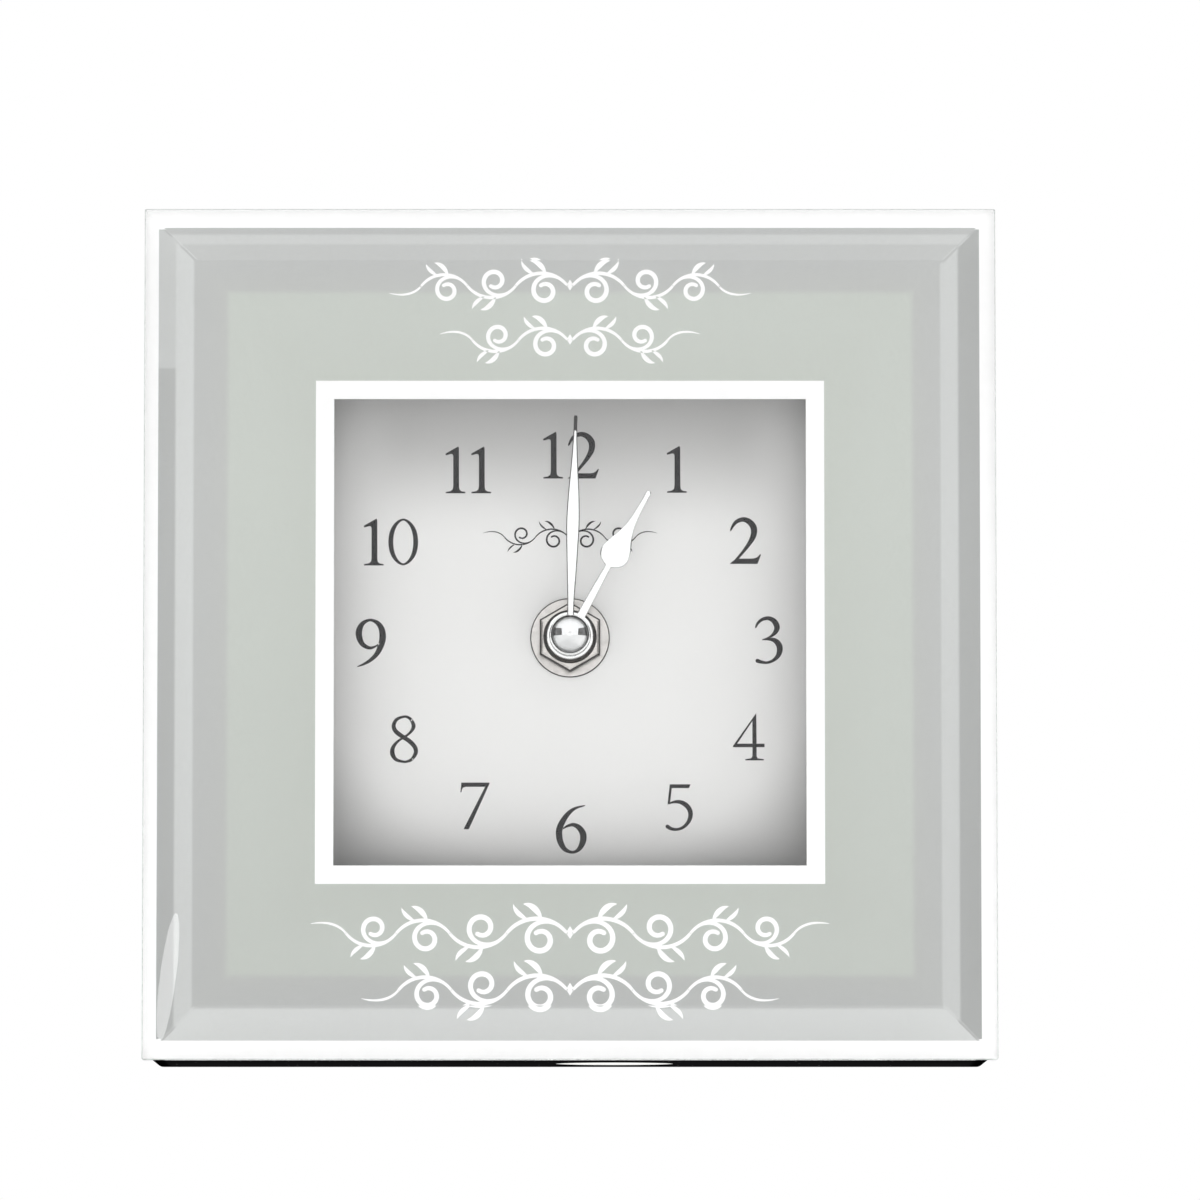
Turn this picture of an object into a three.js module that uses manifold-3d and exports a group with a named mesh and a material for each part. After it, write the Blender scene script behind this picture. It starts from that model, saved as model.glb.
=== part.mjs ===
// Square glass mantel clock with a quartz movement.
// Millimetres, +Z up, the face looks along -Y, and the origin is the middle of the footprint.
// A depth is measured backwards from the front of the glass, so a larger depth is a larger Y.
import * as THREE from 'three';
import { mergeVertices } from 'three/addons/utils/BufferGeometryUtils.js';
import Module from 'manifold-3d';

// Glass, print and case
const FACE_WIDTH = 160;
const FACE_HEIGHT = 160;
const CASE_DEPTH = 40;
const GLASS_THICKNESS = 5;
const BEVEL_WIDTH = 10;
const RIM_THICKNESS = 2.6;
const FILM_THICKNESS = 0.4;
const FILM_INSET = 0.2;
const WINDOW_SIZE = 88;
const BODY_INSET = 1;
const FLOCK_THICKNESS = 0.8;
const FLOCK_CORNER = 1.5;
const FLOCK_INNER_CORNER = 0.4;
const FRONT_BOARD_THICKNESS = 4;
const RAIL_THICKNESS = 12;
const RECESS_OPENING = 96;
const SPACER_THICKNESS = 6.8;
const BACK_THICKNESS = 3;
const BACK_OPENING = 66;
const LABEL_LENGTH = 22.5;
const LABEL_BREADTH = 15;
const LABEL_THICKNESS = 0.2;
const LABEL_POCKET = 0.3;
const LABEL_SIDEWAYS = 8.4;
const LABEL_DEPTH = 25;

// Screws that hold the back panel
const SCREW_SHANK_RADIUS = 1.3;
const SCREW_HEAD_RADIUS = 3;
const SCREW_HEAD_HEIGHT = 1.8;
const SCREW_BITE = 9;
const SCREW_FROM_CORNER = 8;
const SLOT_WIDTH = 0.8;
const SLOT_DEPTH = 0.7;

// Dial and the parts on its hub
const HUB_HEIGHT = 80;
const CARD_THICKNESS = 0.4;
const DIAL_BOARD_THICKNESS = 3;
const GASKET_THICKNESS = 1;
const GASKET_RADIUS = 12;
const WASHER_RADIUS = 7.5;
const WASHER_THICKNESS = 0.5;
const NUT_ACROSS_FLATS = 11.4;
const NUT_THICKNESS = 2.5;
const NUT_CHAMFER = 0.5;
const BUSHING_RADIUS = 4;
const BUSHING_PROUD = 0.4;
const BUSHING_FLANGE_RADIUS = 5;
const BUSHING_FLANGE_THICKNESS = 0.7;
const BUSHING_WALL = 1.25;
const COLLAR_RADIUS = 4.45;
const COLLAR_HEIGHT = 1.8;
const COLLAR_WAIST_RADIUS = 3.6;
const COLLAR_STEP = 0.6;
const HAND_THICKNESS = 0.4;
const MINUTE_HAND_LIFT = 0.9;
const CAP_RADIUS = 3.6;
const CAP_SKIRT = 0.6;
const CAP_DOME = 2.6;
const CAP_BORE_DEPTH = 2.2;

// Hands, shown at a minute past one by the angles of the rest position
const MINUTE_ANGLE = THREE.MathUtils.degToRad(1.5);
const HOUR_ANGLE = THREE.MathUtils.degToRad(28.8);
const MINUTE_LENGTH = 41.5;
const MINUTE_BOSS_RADIUS = 3.9;
const MINUTE_BASE_WIDTH = 1.2;
const MINUTE_BELLY_WIDTH = 2.5;
const MINUTE_BELLY_AT = 21.2;
const MINUTE_TIP_WIDTH = 0.7;
const HOUR_LENGTH = 31.2;
const HOUR_STEM_WIDTH = 1.3;
const HOUR_BLADE_START = 15;
const HOUR_BLADE_WIDTH = 5.3;
const HOUR_BLADE_WIDEST_AT = 17.6;
const HOUR_NECK_AT = 24.2;
const HOUR_TIP_WIDTH = 1;

// Quartz movement
const MOVEMENT_SIZE = 56;
const MOVEMENT_DEPTH = 16;
const MOVEMENT_WALL = 1.5;
const BAY_WALL = 1.2;
const BATTERY_RADIUS = 7.1;
const BATTERY_BODY = 49.3;
const BATTERY_BUTTON = 1.2;
const BATTERY_BUTTON_RADIUS = 2.6;
const BATTERY_PLAY = 0.2;
const CONTACT_THICKNESS = 0.4;
const CONTACT_GAP = 0.3;
const PLATE_THICKNESS = 0.8;
const WHEEL_THICKNESS = 0.6;
const HOUR_WHEEL_THICKNESS = 0.8;
const PINION_OVERHANG = 0.2;
const LAYER_GAP = 0.4;
const ARBOR_RADIUS = 0.4;
const HUB_RADIUS = 0.8;
const SECONDS_PIVOT_RADIUS = 0.35;
const STUD_RADIUS = 0.6;
const PIVOT_DEPTH = 0.6;
const MINUTE_ARBOR_RADIUS = 1.5;
const CLUTCH_RADIUS = 1.2;
const HAND_SEAT_RADIUS = 1.1;
const KNOB_RADIUS = 5;
const KNOB_HEIGHT = 2.6;
const KNOB_JOURNAL_RADIUS = 2.8;
const KNOB_SHAFT_RADIUS = 1.2;
const KNOB_FLUTES = 16;
const KNOB_FLUTE_DEPTH = 0.25;
const MAGNET_RADIUS = 1.7;
const MAGNET_HEIGHT = 1.1;
const STATOR_THICKNESS = 0.6;
const STATOR_HOLE_RADIUS = 2.3;
const STATOR_ARM = 3;
const COIL_LENGTH = 18;
const COIL_CORE_WIDTH = 2.4;
const COIL_TUBE_RADIUS = 1.7;
const COIL_WINDING_RADIUS = 2.2;
const COIL_FLANGE_RADIUS = 2.4;
const COIL_FLANGE_THICKNESS = 0.8;
const COIL_FROM_HUB = [-21, 5.5];
const POST_RADIUS = 1;
const BOARD_THICKNESS = 0.8;
const CHIP_SIZE = 6;
const CHIP_HEIGHT = 0.8;
const CRYSTAL_RADIUS = 1;
const CRYSTAL_LENGTH = 6;

// Gears: teeth, module and, for each pair, the direction from one axis to the next
const CANNON_TEETH = 12;
const MINUTE_WHEEL_TEETH = 36;
const MINUTE_PINION_TEETH = 10;
const HOUR_WHEEL_TEETH = 40;
const MOTION_MODULE = 0.35;
const CENTRE_WHEEL_TEETH = 64;
const THIRD_PINION_TEETH = 8;
const THIRD_WHEEL_TEETH = 60;
const SECONDS_PINION_TEETH = 8;
const CENTRE_MODULE = 0.3;
const SECONDS_WHEEL_TEETH = 40;
const STEP_PINION_TEETH = 10;
const SECONDS_MODULE = 0.38;
const STEP_WHEEL_TEETH = 60;
const ROTOR_PINION_TEETH = 8;
const ROTOR_MODULE = 0.28;
const MINUTE_WHEEL_DIRECTION = THREE.MathUtils.degToRad(-15);
const KNOB_DIRECTION = 0;
const THIRD_DIRECTION = THREE.MathUtils.degToRad(60);
const STEP_DIRECTION = THREE.MathUtils.degToRad(160);
const ROTOR_DIRECTION = THREE.MathUtils.degToRad(110);
const PRESSURE_ANGLE = THREE.MathUtils.degToRad(25);
const ADDENDUM = 0.7;
const DEDENDUM = 1;
const BACKLASH = 0.06;

// Clearances
const FIT = 0.2;
const TURNING = 0.1;
const THREAD_PLAY = 0.1;
const SEAT = 0.3;

const ROUND_SIDES = 36;
const SMALL_SIDES = 12;
const CORNER_STEPS = 5;

// Depths of the faces that the stack of parts shares, from the glass backwards
const filmBack = GLASS_THICKNESS + FILM_THICKNESS;
const frontBoardBack = filmBack + FRONT_BOARD_THICKNESS;
const dialFront = frontBoardBack + SPACER_THICKNESS;
const cardBack = dialFront + CARD_THICKNESS;
const dialBoardBack = cardBack + DIAL_BOARD_THICKNESS;
const movementFront = dialBoardBack + GASKET_THICKNESS;
const movementBack = movementFront + MOVEMENT_DEPTH;
const cavityFront = movementFront + MOVEMENT_WALL;
const cavityBack = movementBack - MOVEMENT_WALL;
const backPanelFront = CASE_DEPTH - BACK_THICKNESS;

// Depths on the hub, from the dial forwards
const washerFront = dialFront - WASHER_THICKNESS;
const nutFront = washerFront - NUT_THICKNESS;
const bushingFront = nutFront - BUSHING_PROUD;
const collarBack = bushingFront - LAYER_GAP;
const hourHandBack = collarBack - COLLAR_HEIGHT;
const hourHandFront = hourHandBack - HAND_THICKNESS;
const minuteHandBack = hourHandFront - MINUTE_HAND_LIFT;
const minuteHandFront = minuteHandBack - HAND_THICKNESS;
const capFront = minuteHandFront - CAP_SKIRT - CAP_DOME;
const bushingBore = BUSHING_RADIUS - BUSHING_WALL;
const hourPipeRadius = bushingBore - TURNING;
const hourBoreRadius = hourPipeRadius + TURNING;

// Depths inside the movement, from its front wall backwards
const hourWheelFront = cavityFront + LAYER_GAP;
const hourWheelBack = hourWheelFront + HOUR_WHEEL_THICKNESS;
const layerStep = LAYER_GAP + 2 * PINION_OVERHANG;
const minuteWheelFront = hourWheelBack + layerStep;
const minuteWheelBack = minuteWheelFront + WHEEL_THICKNESS;
const centreWheelFront = minuteWheelBack + layerStep;
const centreWheelBack = centreWheelFront + WHEEL_THICKNESS;
const plateFront = centreWheelBack + PINION_OVERHANG + LAYER_GAP;
const plateBack = plateFront + PLATE_THICKNESS;
const thirdWheelFront = plateBack + LAYER_GAP + PINION_OVERHANG;
const thirdWheelBack = thirdWheelFront + WHEEL_THICKNESS;
const secondsWheelFront = thirdWheelBack + layerStep;
const secondsWheelBack = secondsWheelFront + WHEEL_THICKNESS;
const stepWheelFront = secondsWheelBack + layerStep;
const stepWheelBack = stepWheelFront + WHEEL_THICKNESS;
const statorFront = stepWheelBack + layerStep;
const statorBack = statorFront + STATOR_THICKNESS;
const coreFront = statorFront - STATOR_THICKNESS;
const coilDepth = (coreFront + statorFront) / 2;
const boardBack = cavityBack - FIT;
const boardFront = boardBack - BOARD_THICKNESS;

// The case behind the glass
const bodyHalfWidth = FACE_WIDTH / 2 - BODY_INSET;
const bodyTop = FACE_HEIGHT - BODY_INSET;
const boxHalfWidth = bodyHalfWidth - FLOCK_THICKNESS - FIT;
const boxBottom = FLOCK_THICKNESS + FIT;
const boxTop = bodyTop - FLOCK_THICKNESS - FIT;
const insideHalfWidth = boxHalfWidth - RAIL_THICKNESS - FIT;
const insideBottom = boxBottom + RAIL_THICKNESS + FIT;
const insideTop = boxTop - RAIL_THICKNESS - FIT;

// The movement's housing, in distances from the hub
const housingHalf = MOVEMENT_SIZE / 2;
const cavityHalf = housingHalf - MOVEMENT_WALL;
const bayTop = -cavityHalf + 2 * BATTERY_RADIUS + 2 * BATTERY_PLAY;
const cavityBottom = bayTop + BAY_WALL;
const batteryHeight = -cavityHalf + BATTERY_PLAY + BATTERY_RADIUS;
const batteryDepth = cavityFront + BATTERY_PLAY + BATTERY_RADIUS;
const batteryButtonEnd = cavityHalf - FIT - CONTACT_THICKNESS - CONTACT_GAP;
const batteryBodyEnd = batteryButtonEnd - BATTERY_BUTTON;
const batteryFoot = batteryBodyEnd - BATTERY_BODY;

const ORIGIN = [0, 0];
const pitchRadius = (teeth, module) => teeth * module / 2;
const motionDistance = pitchRadius(CANNON_TEETH + MINUTE_WHEEL_TEETH, MOTION_MODULE);
const hourModule = 2 * motionDistance / (MINUTE_PINION_TEETH + HOUR_WHEEL_TEETH);
const thirdDistance = pitchRadius(CENTRE_WHEEL_TEETH + THIRD_PINION_TEETH, CENTRE_MODULE);
const thirdModule = 2 * thirdDistance / (THIRD_WHEEL_TEETH + SECONDS_PINION_TEETH);
const stepDistance = pitchRadius(SECONDS_WHEEL_TEETH + STEP_PINION_TEETH, SECONDS_MODULE);
const rotorDistance = pitchRadius(STEP_WHEEL_TEETH + ROTOR_PINION_TEETH, ROTOR_MODULE);

// The point at a distance and a direction from another
function stepFrom([x, z], distance, direction) {
  return [x + distance * Math.cos(direction), z + distance * Math.sin(direction)];
}

const minuteAxis = stepFrom(ORIGIN, motionDistance, MINUTE_WHEEL_DIRECTION);
const knobAxis = stepFrom(minuteAxis, motionDistance, KNOB_DIRECTION);
const thirdAxis = stepFrom(ORIGIN, thirdDistance, THIRD_DIRECTION);
const stepAxis = stepFrom(ORIGIN, stepDistance, STEP_DIRECTION);
const rotorAxis = stepFrom(stepAxis, rotorDistance, ROTOR_DIRECTION);

const wasm = await Module();
wasm.setup();

// A closed mesh with its shared points merged, its slivers dropped and its faces turned outwards
function closed(geometry) {
  const bare = new THREE.BufferGeometry();
  bare.setAttribute('position', geometry.getAttribute('position').clone());
  bare.setIndex(geometry.index ? geometry.index.clone() : null);
  const merged = mergeVertices(bare, 1e-4);
  const points = merged.getAttribute('position');
  const triangles = [];
  for (let i = 0; i < merged.index.count; i += 3) {
    const [a, b, c] = [0, 1, 2].map((k) => merged.index.getX(i + k));
    if (a !== b && b !== c && c !== a) triangles.push([a, b, c]);
  }
  const corner = (i) => new THREE.Vector3().fromBufferAttribute(points, i);
  const volume = triangles.reduce((sum, [a, b, c]) => sum + corner(a).dot(corner(b).cross(corner(c))), 0);
  const outward = volume > 0 ? triangles : triangles.map(([a, b, c]) => [a, c, b]);
  merged.setIndex(outward.flat());
  return merged;
}

function toSolid(geometry) {
  const mesh = closed(geometry);
  return new wasm.Manifold(new wasm.Mesh({
    numProp: 3,
    vertProperties: Float32Array.from(mesh.getAttribute('position').array),
    triVerts: Uint32Array.from(mesh.index.array),
  }));
}

function fromSolid(solid) {
  const mesh = solid.getMesh();
  const geometry = new THREE.BufferGeometry();
  geometry.setAttribute('position', new THREE.BufferAttribute(Float32Array.from(mesh.vertProperties), 3));
  geometry.setIndex(Array.from(mesh.triVerts));
  return geometry;
}

function join(first, ...others) {
  return fromSolid(others.reduce((solid, other) => solid.add(toSolid(other)), toSolid(first)));
}

function cut(first, ...others) {
  return fromSolid(others.reduce((solid, other) => solid.subtract(toSolid(other)), toSolid(first)));
}

// Moves a piece that was drawn about the hub to its place on the clock
function atHub(geometry) {
  return geometry.translate(0, 0, HUB_HEIGHT);
}

// A plate with the outline of a shape, between two depths
function slab(shape, front, back) {
  const geometry = new THREE.ExtrudeGeometry(shape, {
    depth: back - front,
    bevelEnabled: false,
    curveSegments: CORNER_STEPS,
  });
  geometry.rotateX(Math.PI / 2);
  geometry.translate(0, back - CASE_DEPTH / 2, 0);
  return closed(geometry);
}

function block(left, right, front, back, bottom, top) {
  const geometry = new THREE.BoxGeometry(right - left, back - front, top - bottom);
  geometry.translate((left + right) / 2, (front + back - CASE_DEPTH) / 2, (bottom + top) / 2);
  return closed(geometry);
}

// A piece turned about an axis along the depth, from a profile of radius and depth
function turned(profile, [x, z] = ORIGIN, sides = ROUND_SIDES) {
  const points = profile.map(([radius, depth]) => new THREE.Vector2(radius, depth - CASE_DEPTH / 2));
  const geometry = new THREE.LatheGeometry(points, sides);
  geometry.translate(x, 0, z);
  return closed(geometry);
}

function disc(radius, front, back, axis, sides) {
  return turned([[0, front], [radius, front], [radius, back], [0, back]], axis, sides);
}

function ring(bore, radius, front, back, axis, sides) {
  const profile = [[bore, front], [radius, front], [radius, back], [bore, back], [bore, front]];
  return turned(profile, axis, sides);
}

function rectangle(left, right, bottom, top, corner = 0) {
  const shape = new THREE.Shape();
  if (corner === 0) {
    shape.setFromPoints([[left, bottom], [right, bottom], [right, top], [left, top]]
      .map(([x, z]) => new THREE.Vector2(x, z)));
    return shape;
  }
  shape.absarc(right - corner, bottom + corner, corner, -Math.PI / 2, 0);
  shape.absarc(right - corner, top - corner, corner, 0, Math.PI / 2);
  shape.absarc(left + corner, top - corner, corner, Math.PI / 2, Math.PI);
  shape.absarc(left + corner, bottom + corner, corner, Math.PI, 3 * Math.PI / 2);
  shape.closePath();
  return shape;
}

// A square hole about the hub
function squareHole(size) {
  const half = size / 2;
  return new THREE.Path(rectangle(-half, half, HUB_HEIGHT - half, HUB_HEIGHT + half).getPoints());
}

// A flat part's outline that is the same on both sides of its middle line
function mirroredOutline(halfWidths) {
  const right = halfWidths.map(([along, half]) => new THREE.Vector2(half, along));
  const left = halfWidths.map(([along, half]) => new THREE.Vector2(-half, along)).reverse();
  return new THREE.Shape([...right, ...left]);
}

// Half-width along a smooth curve through the given stations of length and half-width
function stations(points, steps) {
  const curve = new THREE.CatmullRomCurve3(points.map(([along, half]) => new THREE.Vector3(along, half, 0)));
  return curve.getPoints(steps).map((point) => [point.x, point.y]);
}

const involute = (angle) => Math.tan(angle) - angle;

// A gear's outline, with short teeth thinned by the backlash, and a tooth in the direction of its phase
function gearShape(teeth, module, phase, [x, z]) {
  const pitch = pitchRadius(teeth, module);
  const base = pitch * Math.cos(PRESSURE_ANGLE);
  const atPitch = Math.PI / (2 * teeth) - BACKLASH / (2 * pitch) + involute(PRESSURE_ANGLE);
  const halfTooth = (radius) => atPitch - involute(Math.acos(Math.min(1, base / radius)));
  const root = pitch - DEDENDUM * module;
  const tip = pitch + ADDENDUM * module;
  const points = [];
  for (let tooth = 0; tooth < teeth; tooth += 1) {
    const middle = phase + tooth * 2 * Math.PI / teeth;
    for (const [radius, side] of [[root, -1], [tip, -1], [tip, 1], [root, 1]]) {
      const [px, pz] = stepFrom([x, z], radius, middle + side * halfTooth(Math.max(radius, base)));
      points.push(new THREE.Vector2(px, pz));
    }
  }
  return new THREE.Shape(points);
}

// The phase of a gear whose gap meets a tooth of its neighbour on the line between their axes
function meshingPhase(phase, teeth, direction, otherTeeth) {
  const offset = (direction - phase) * teeth / (2 * Math.PI);
  return direction + Math.PI + (offset - 0.5) * 2 * Math.PI / otherTeeth;
}

const minutePhase = meshingPhase(0, CANNON_TEETH, MINUTE_WHEEL_DIRECTION, MINUTE_WHEEL_TEETH);
const hourPhase = meshingPhase(
  minutePhase, MINUTE_PINION_TEETH, MINUTE_WHEEL_DIRECTION + Math.PI, HOUR_WHEEL_TEETH);
const knobPhase = meshingPhase(minutePhase, MINUTE_WHEEL_TEETH, KNOB_DIRECTION, CANNON_TEETH);
const thirdPhase = meshingPhase(0, CENTRE_WHEEL_TEETH, THIRD_DIRECTION, THIRD_PINION_TEETH);
const secondsPhase = meshingPhase(
  thirdPhase, THIRD_WHEEL_TEETH, THIRD_DIRECTION + Math.PI, SECONDS_PINION_TEETH);
const stepPhase = meshingPhase(secondsPhase, SECONDS_WHEEL_TEETH, STEP_DIRECTION, STEP_PINION_TEETH);
const rotorPhase = meshingPhase(stepPhase, STEP_WHEEL_TEETH, ROTOR_DIRECTION, ROTOR_PINION_TEETH);

function finish(color, roughness, metalness, opacity = 1) {
  return () => new THREE.MeshStandardMaterial({
    color, roughness, metalness, opacity, transparent: opacity < 1,
  });
}

const clearGlass = finish(0xdfe9e4, 0.05, 0, 0.35);
const printedPaint = finish(0xc4cdc4, 0.5, 0);
const dialPaper = finish(0xececea, 0.8, 0);
const rawBoard = finish(0x8d7a5f, 0.9, 0);
const blackFlock = finish(0x0c0c0d, 1, 0);
const steel = finish(0xb8b8b6, 0.35, 1);
const chrome = finish(0xe6e6e6, 0.08, 1);
const polishedAluminium = finish(0xf0f0f0, 0.12, 1);
const brass = finish(0xc9a24f, 0.3, 1);
const blackPlastic = finish(0x1b1c1e, 0.55, 0);
const whitePlastic = finish(0xe9e8e2, 0.45, 0);
const redPlastic = finish(0xb8322c, 0.45, 0);
const blackRubber = finish(0x17181a, 0.9, 0);
const copper = finish(0xb8693a, 0.35, 1);
const magnetIron = finish(0x4a4b4e, 0.5, 1);
const greenBoard = finish(0x2f6b45, 0.6, 0);
const plainPaper = finish(0xf2f2ef, 0.85, 0);
const batteryJacket = finish(0x3a4650, 0.4, 0);

const clock = new THREE.Group();

function add(name, geometry, material) {
  const mesh = new THREE.Mesh(geometry, material());
  mesh.name = name;
  clock.add(mesh);
}

// Glass front, bevelled all round, as a stack of three rectangles
function buildGlass() {
  const half = FACE_WIDTH / 2;
  const rings = [
    [half, 0, FACE_HEIGHT, GLASS_THICKNESS],
    [half, 0, FACE_HEIGHT, GLASS_THICKNESS - RIM_THICKNESS],
    [half - BEVEL_WIDTH, BEVEL_WIDTH, FACE_HEIGHT - BEVEL_WIDTH, 0],
  ];
  const points = rings.flatMap(([x, bottom, top, depth]) => {
    const y = depth - CASE_DEPTH / 2;
    return [[-x, y, bottom], [x, y, bottom], [x, y, top], [-x, y, top]].flat();
  });
  const triangles = [0, 1, 2, 0, 2, 3, 8, 10, 9, 8, 11, 10];
  for (const start of [0, 4]) {
    for (let side = 0; side < 4; side += 1) {
      const [a, b] = [start + side, start + (side + 1) % 4];
      triangles.push(a, a + 4, b, b, a + 4, b + 4);
    }
  }
  const geometry = new THREE.BufferGeometry();
  geometry.setAttribute('position', new THREE.Float32BufferAttribute(points, 3));
  geometry.setIndex(triangles);
  add('glass_front', closed(geometry), clearGlass);
}

function buildFilm() {
  const half = FACE_WIDTH / 2 - FILM_INSET;
  const outline = rectangle(-half, half, FILM_INSET, FACE_HEIGHT - FILM_INSET);
  outline.holes.push(squareHole(WINDOW_SIZE));
  add('printed_film', slab(outline, GLASS_THICKNESS, filmBack), printedPaint);
}

// The flock cover, a sleeve round the case, with a shallow pocket for the label underneath
function buildFlock() {
  const outline = rectangle(-bodyHalfWidth, bodyHalfWidth, 0, bodyTop, FLOCK_CORNER);
  const inside = rectangle(
    -bodyHalfWidth + FLOCK_THICKNESS, bodyHalfWidth - FLOCK_THICKNESS,
    FLOCK_THICKNESS, bodyTop - FLOCK_THICKNESS, FLOCK_INNER_CORNER);
  outline.holes.push(new THREE.Path(inside.getPoints(CORNER_STEPS)));
  const oval = (grow) => new THREE.Shape().absellipse(
    LABEL_SIDEWAYS, LABEL_DEPTH - CASE_DEPTH / 2,
    LABEL_LENGTH / 2 + grow, LABEL_BREADTH / 2 + grow, 0, 2 * Math.PI);
  const raised = (shape, bottom, height) => closed(new THREE.ExtrudeGeometry(shape, {
    depth: height, bevelEnabled: false, curveSegments: SMALL_SIDES,
  }).translate(0, 0, bottom));
  const pocket = raised(oval(FIT), -LABEL_POCKET, 2 * LABEL_POCKET);
  add('flock_cover', cut(slab(outline, filmBack, CASE_DEPTH), pocket), blackFlock);
  add('base_label', raised(oval(0), LABEL_POCKET - LABEL_THICKNESS, LABEL_THICKNESS), plainPaper);
}

const screwPlaces = [-1, 1].flatMap((side) => [
  [side * (boxHalfWidth - SCREW_FROM_CORNER), boxBottom + RAIL_THICKNESS / 2],
  [side * (boxHalfWidth - SCREW_FROM_CORNER), boxTop - RAIL_THICKNESS / 2],
]);
const screwTip = backPanelFront - SCREW_BITE;

// A countersunk screw, larger all round by the given amount where it stands for its hole
function screwBody(place, grow) {
  const head = SCREW_HEAD_RADIUS + grow;
  const shank = SCREW_SHANK_RADIUS + grow;
  const neck = CASE_DEPTH - FIT - SCREW_HEAD_HEIGHT;
  const profile = [[0, screwTip - grow], [shank, screwTip - grow], [shank, neck],
    [head, CASE_DEPTH - FIT], [head, CASE_DEPTH - FIT + grow * 3], [0, CASE_DEPTH - FIT + grow * 3]];
  return turned(grow > 0 ? profile : profile.filter((_, i) => i !== 4), place, SMALL_SIDES * 2);
}

function buildScrews() {
  screwPlaces.forEach((place, number) => {
    const [x, z] = place;
    const slotBottom = CASE_DEPTH - FIT - SLOT_DEPTH;
    const slot = block(
      x - SCREW_HEAD_RADIUS, x + SCREW_HEAD_RADIUS, slotBottom, CASE_DEPTH,
      z - SLOT_WIDTH / 2, z + SLOT_WIDTH / 2);
    add(`back_screw_${number + 1}`, cut(screwBody(place, 0), slot), steel);
  });
}

// The boards of the case: a front board, four rails and a back panel
function buildCase() {
  const frontBoard = rectangle(-boxHalfWidth, boxHalfWidth, boxBottom, boxTop);
  frontBoard.holes.push(squareHole(RECESS_OPENING));
  add('front_board', slab(frontBoard, filmBack, frontBoardBack), rawBoard);
  const holes = screwPlaces.map((place) => screwBody(place, TURNING));
  const crossRail = (bottom) => cut(
    block(-boxHalfWidth, boxHalfWidth, frontBoardBack, backPanelFront, bottom, bottom + RAIL_THICKNESS),
    ...holes);
  add('rail_bottom', crossRail(boxBottom), rawBoard);
  add('rail_top', crossRail(boxTop - RAIL_THICKNESS), rawBoard);
  for (const [name, left] of [['rail_left', -boxHalfWidth], ['rail_right', boxHalfWidth - RAIL_THICKNESS]]) {
    add(name, block(
      left, left + RAIL_THICKNESS, frontBoardBack, backPanelFront, insideBottom, insideTop), rawBoard);
  }
  const backPanel = rectangle(-boxHalfWidth, boxHalfWidth, boxBottom, boxTop);
  backPanel.holes.push(squareHole(BACK_OPENING));
  add('back_panel', cut(slab(backPanel, backPanelFront, CASE_DEPTH), ...holes), blackFlock);
}

// The spacer that sets the dial back from the glass, and the dial on its board
function buildDial() {
  const field = () => rectangle(-insideHalfWidth, insideHalfWidth, insideBottom, insideTop);
  const spacer = field();
  spacer.holes.push(squareHole(RECESS_OPENING));
  add('recess_spacer', slab(spacer, frontBoardBack, dialFront), rawBoard);
  const noseHole = atHub(disc(BUSHING_RADIUS + THREAD_PLAY, dialFront - FIT, movementFront));
  add('dial_card', cut(slab(field(), dialFront, cardBack), noseHole), dialPaper);
  add('dial_board', cut(slab(field(), cardBack, dialBoardBack), noseHole), rawBoard);
  add('dial_gasket', atHub(ring(
    BUSHING_RADIUS + THREAD_PLAY, GASKET_RADIUS, dialBoardBack, movementFront)), blackRubber);
}

function buildNut() {
  const across = NUT_ACROSS_FLATS / 2;
  const corners = Array.from({ length: 6 }, (_, i) => {
    const [x, z] = stepFrom(ORIGIN, across / Math.cos(Math.PI / 6), Math.PI / 2 + i * Math.PI / 3);
    return new THREE.Vector2(x, z);
  });
  const hexagon = toSolid(slab(new THREE.Shape(corners), nutFront, washerFront));
  const chamfered = toSolid(turned([
    [0, nutFront], [across, nutFront], [across + 2 * NUT_CHAMFER, nutFront + NUT_CHAMFER],
    [across + 2 * NUT_CHAMFER, washerFront], [0, washerFront]]));
  const bore = toSolid(disc(BUSHING_RADIUS + THREAD_PLAY, nutFront - FIT, washerFront + FIT));
  return fromSolid(hexagon.intersect(chamfered).subtract(bore));
}

// The brass nose of the movement, with the washer and nut that clamp the dial to it
function buildHub() {
  const flangeFront = cavityFront - BUSHING_FLANGE_THICKNESS;
  add('threaded_bushing', atHub(turned([
    [bushingBore, bushingFront], [BUSHING_RADIUS, bushingFront], [BUSHING_RADIUS, flangeFront],
    [BUSHING_FLANGE_RADIUS, flangeFront], [BUSHING_FLANGE_RADIUS, cavityFront],
    [bushingBore, cavityFront], [bushingBore, bushingFront]])), brass);
  add('dial_washer', atHub(ring(
    BUSHING_RADIUS + THREAD_PLAY, WASHER_RADIUS, washerFront, dialFront)), steel);
  add('hex_nut', atHub(buildNut()), steel);
}

function turnHand(geometry, angle) {
  return geometry.rotateY(angle).translate(0, 0, HUB_HEIGHT);
}

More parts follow.
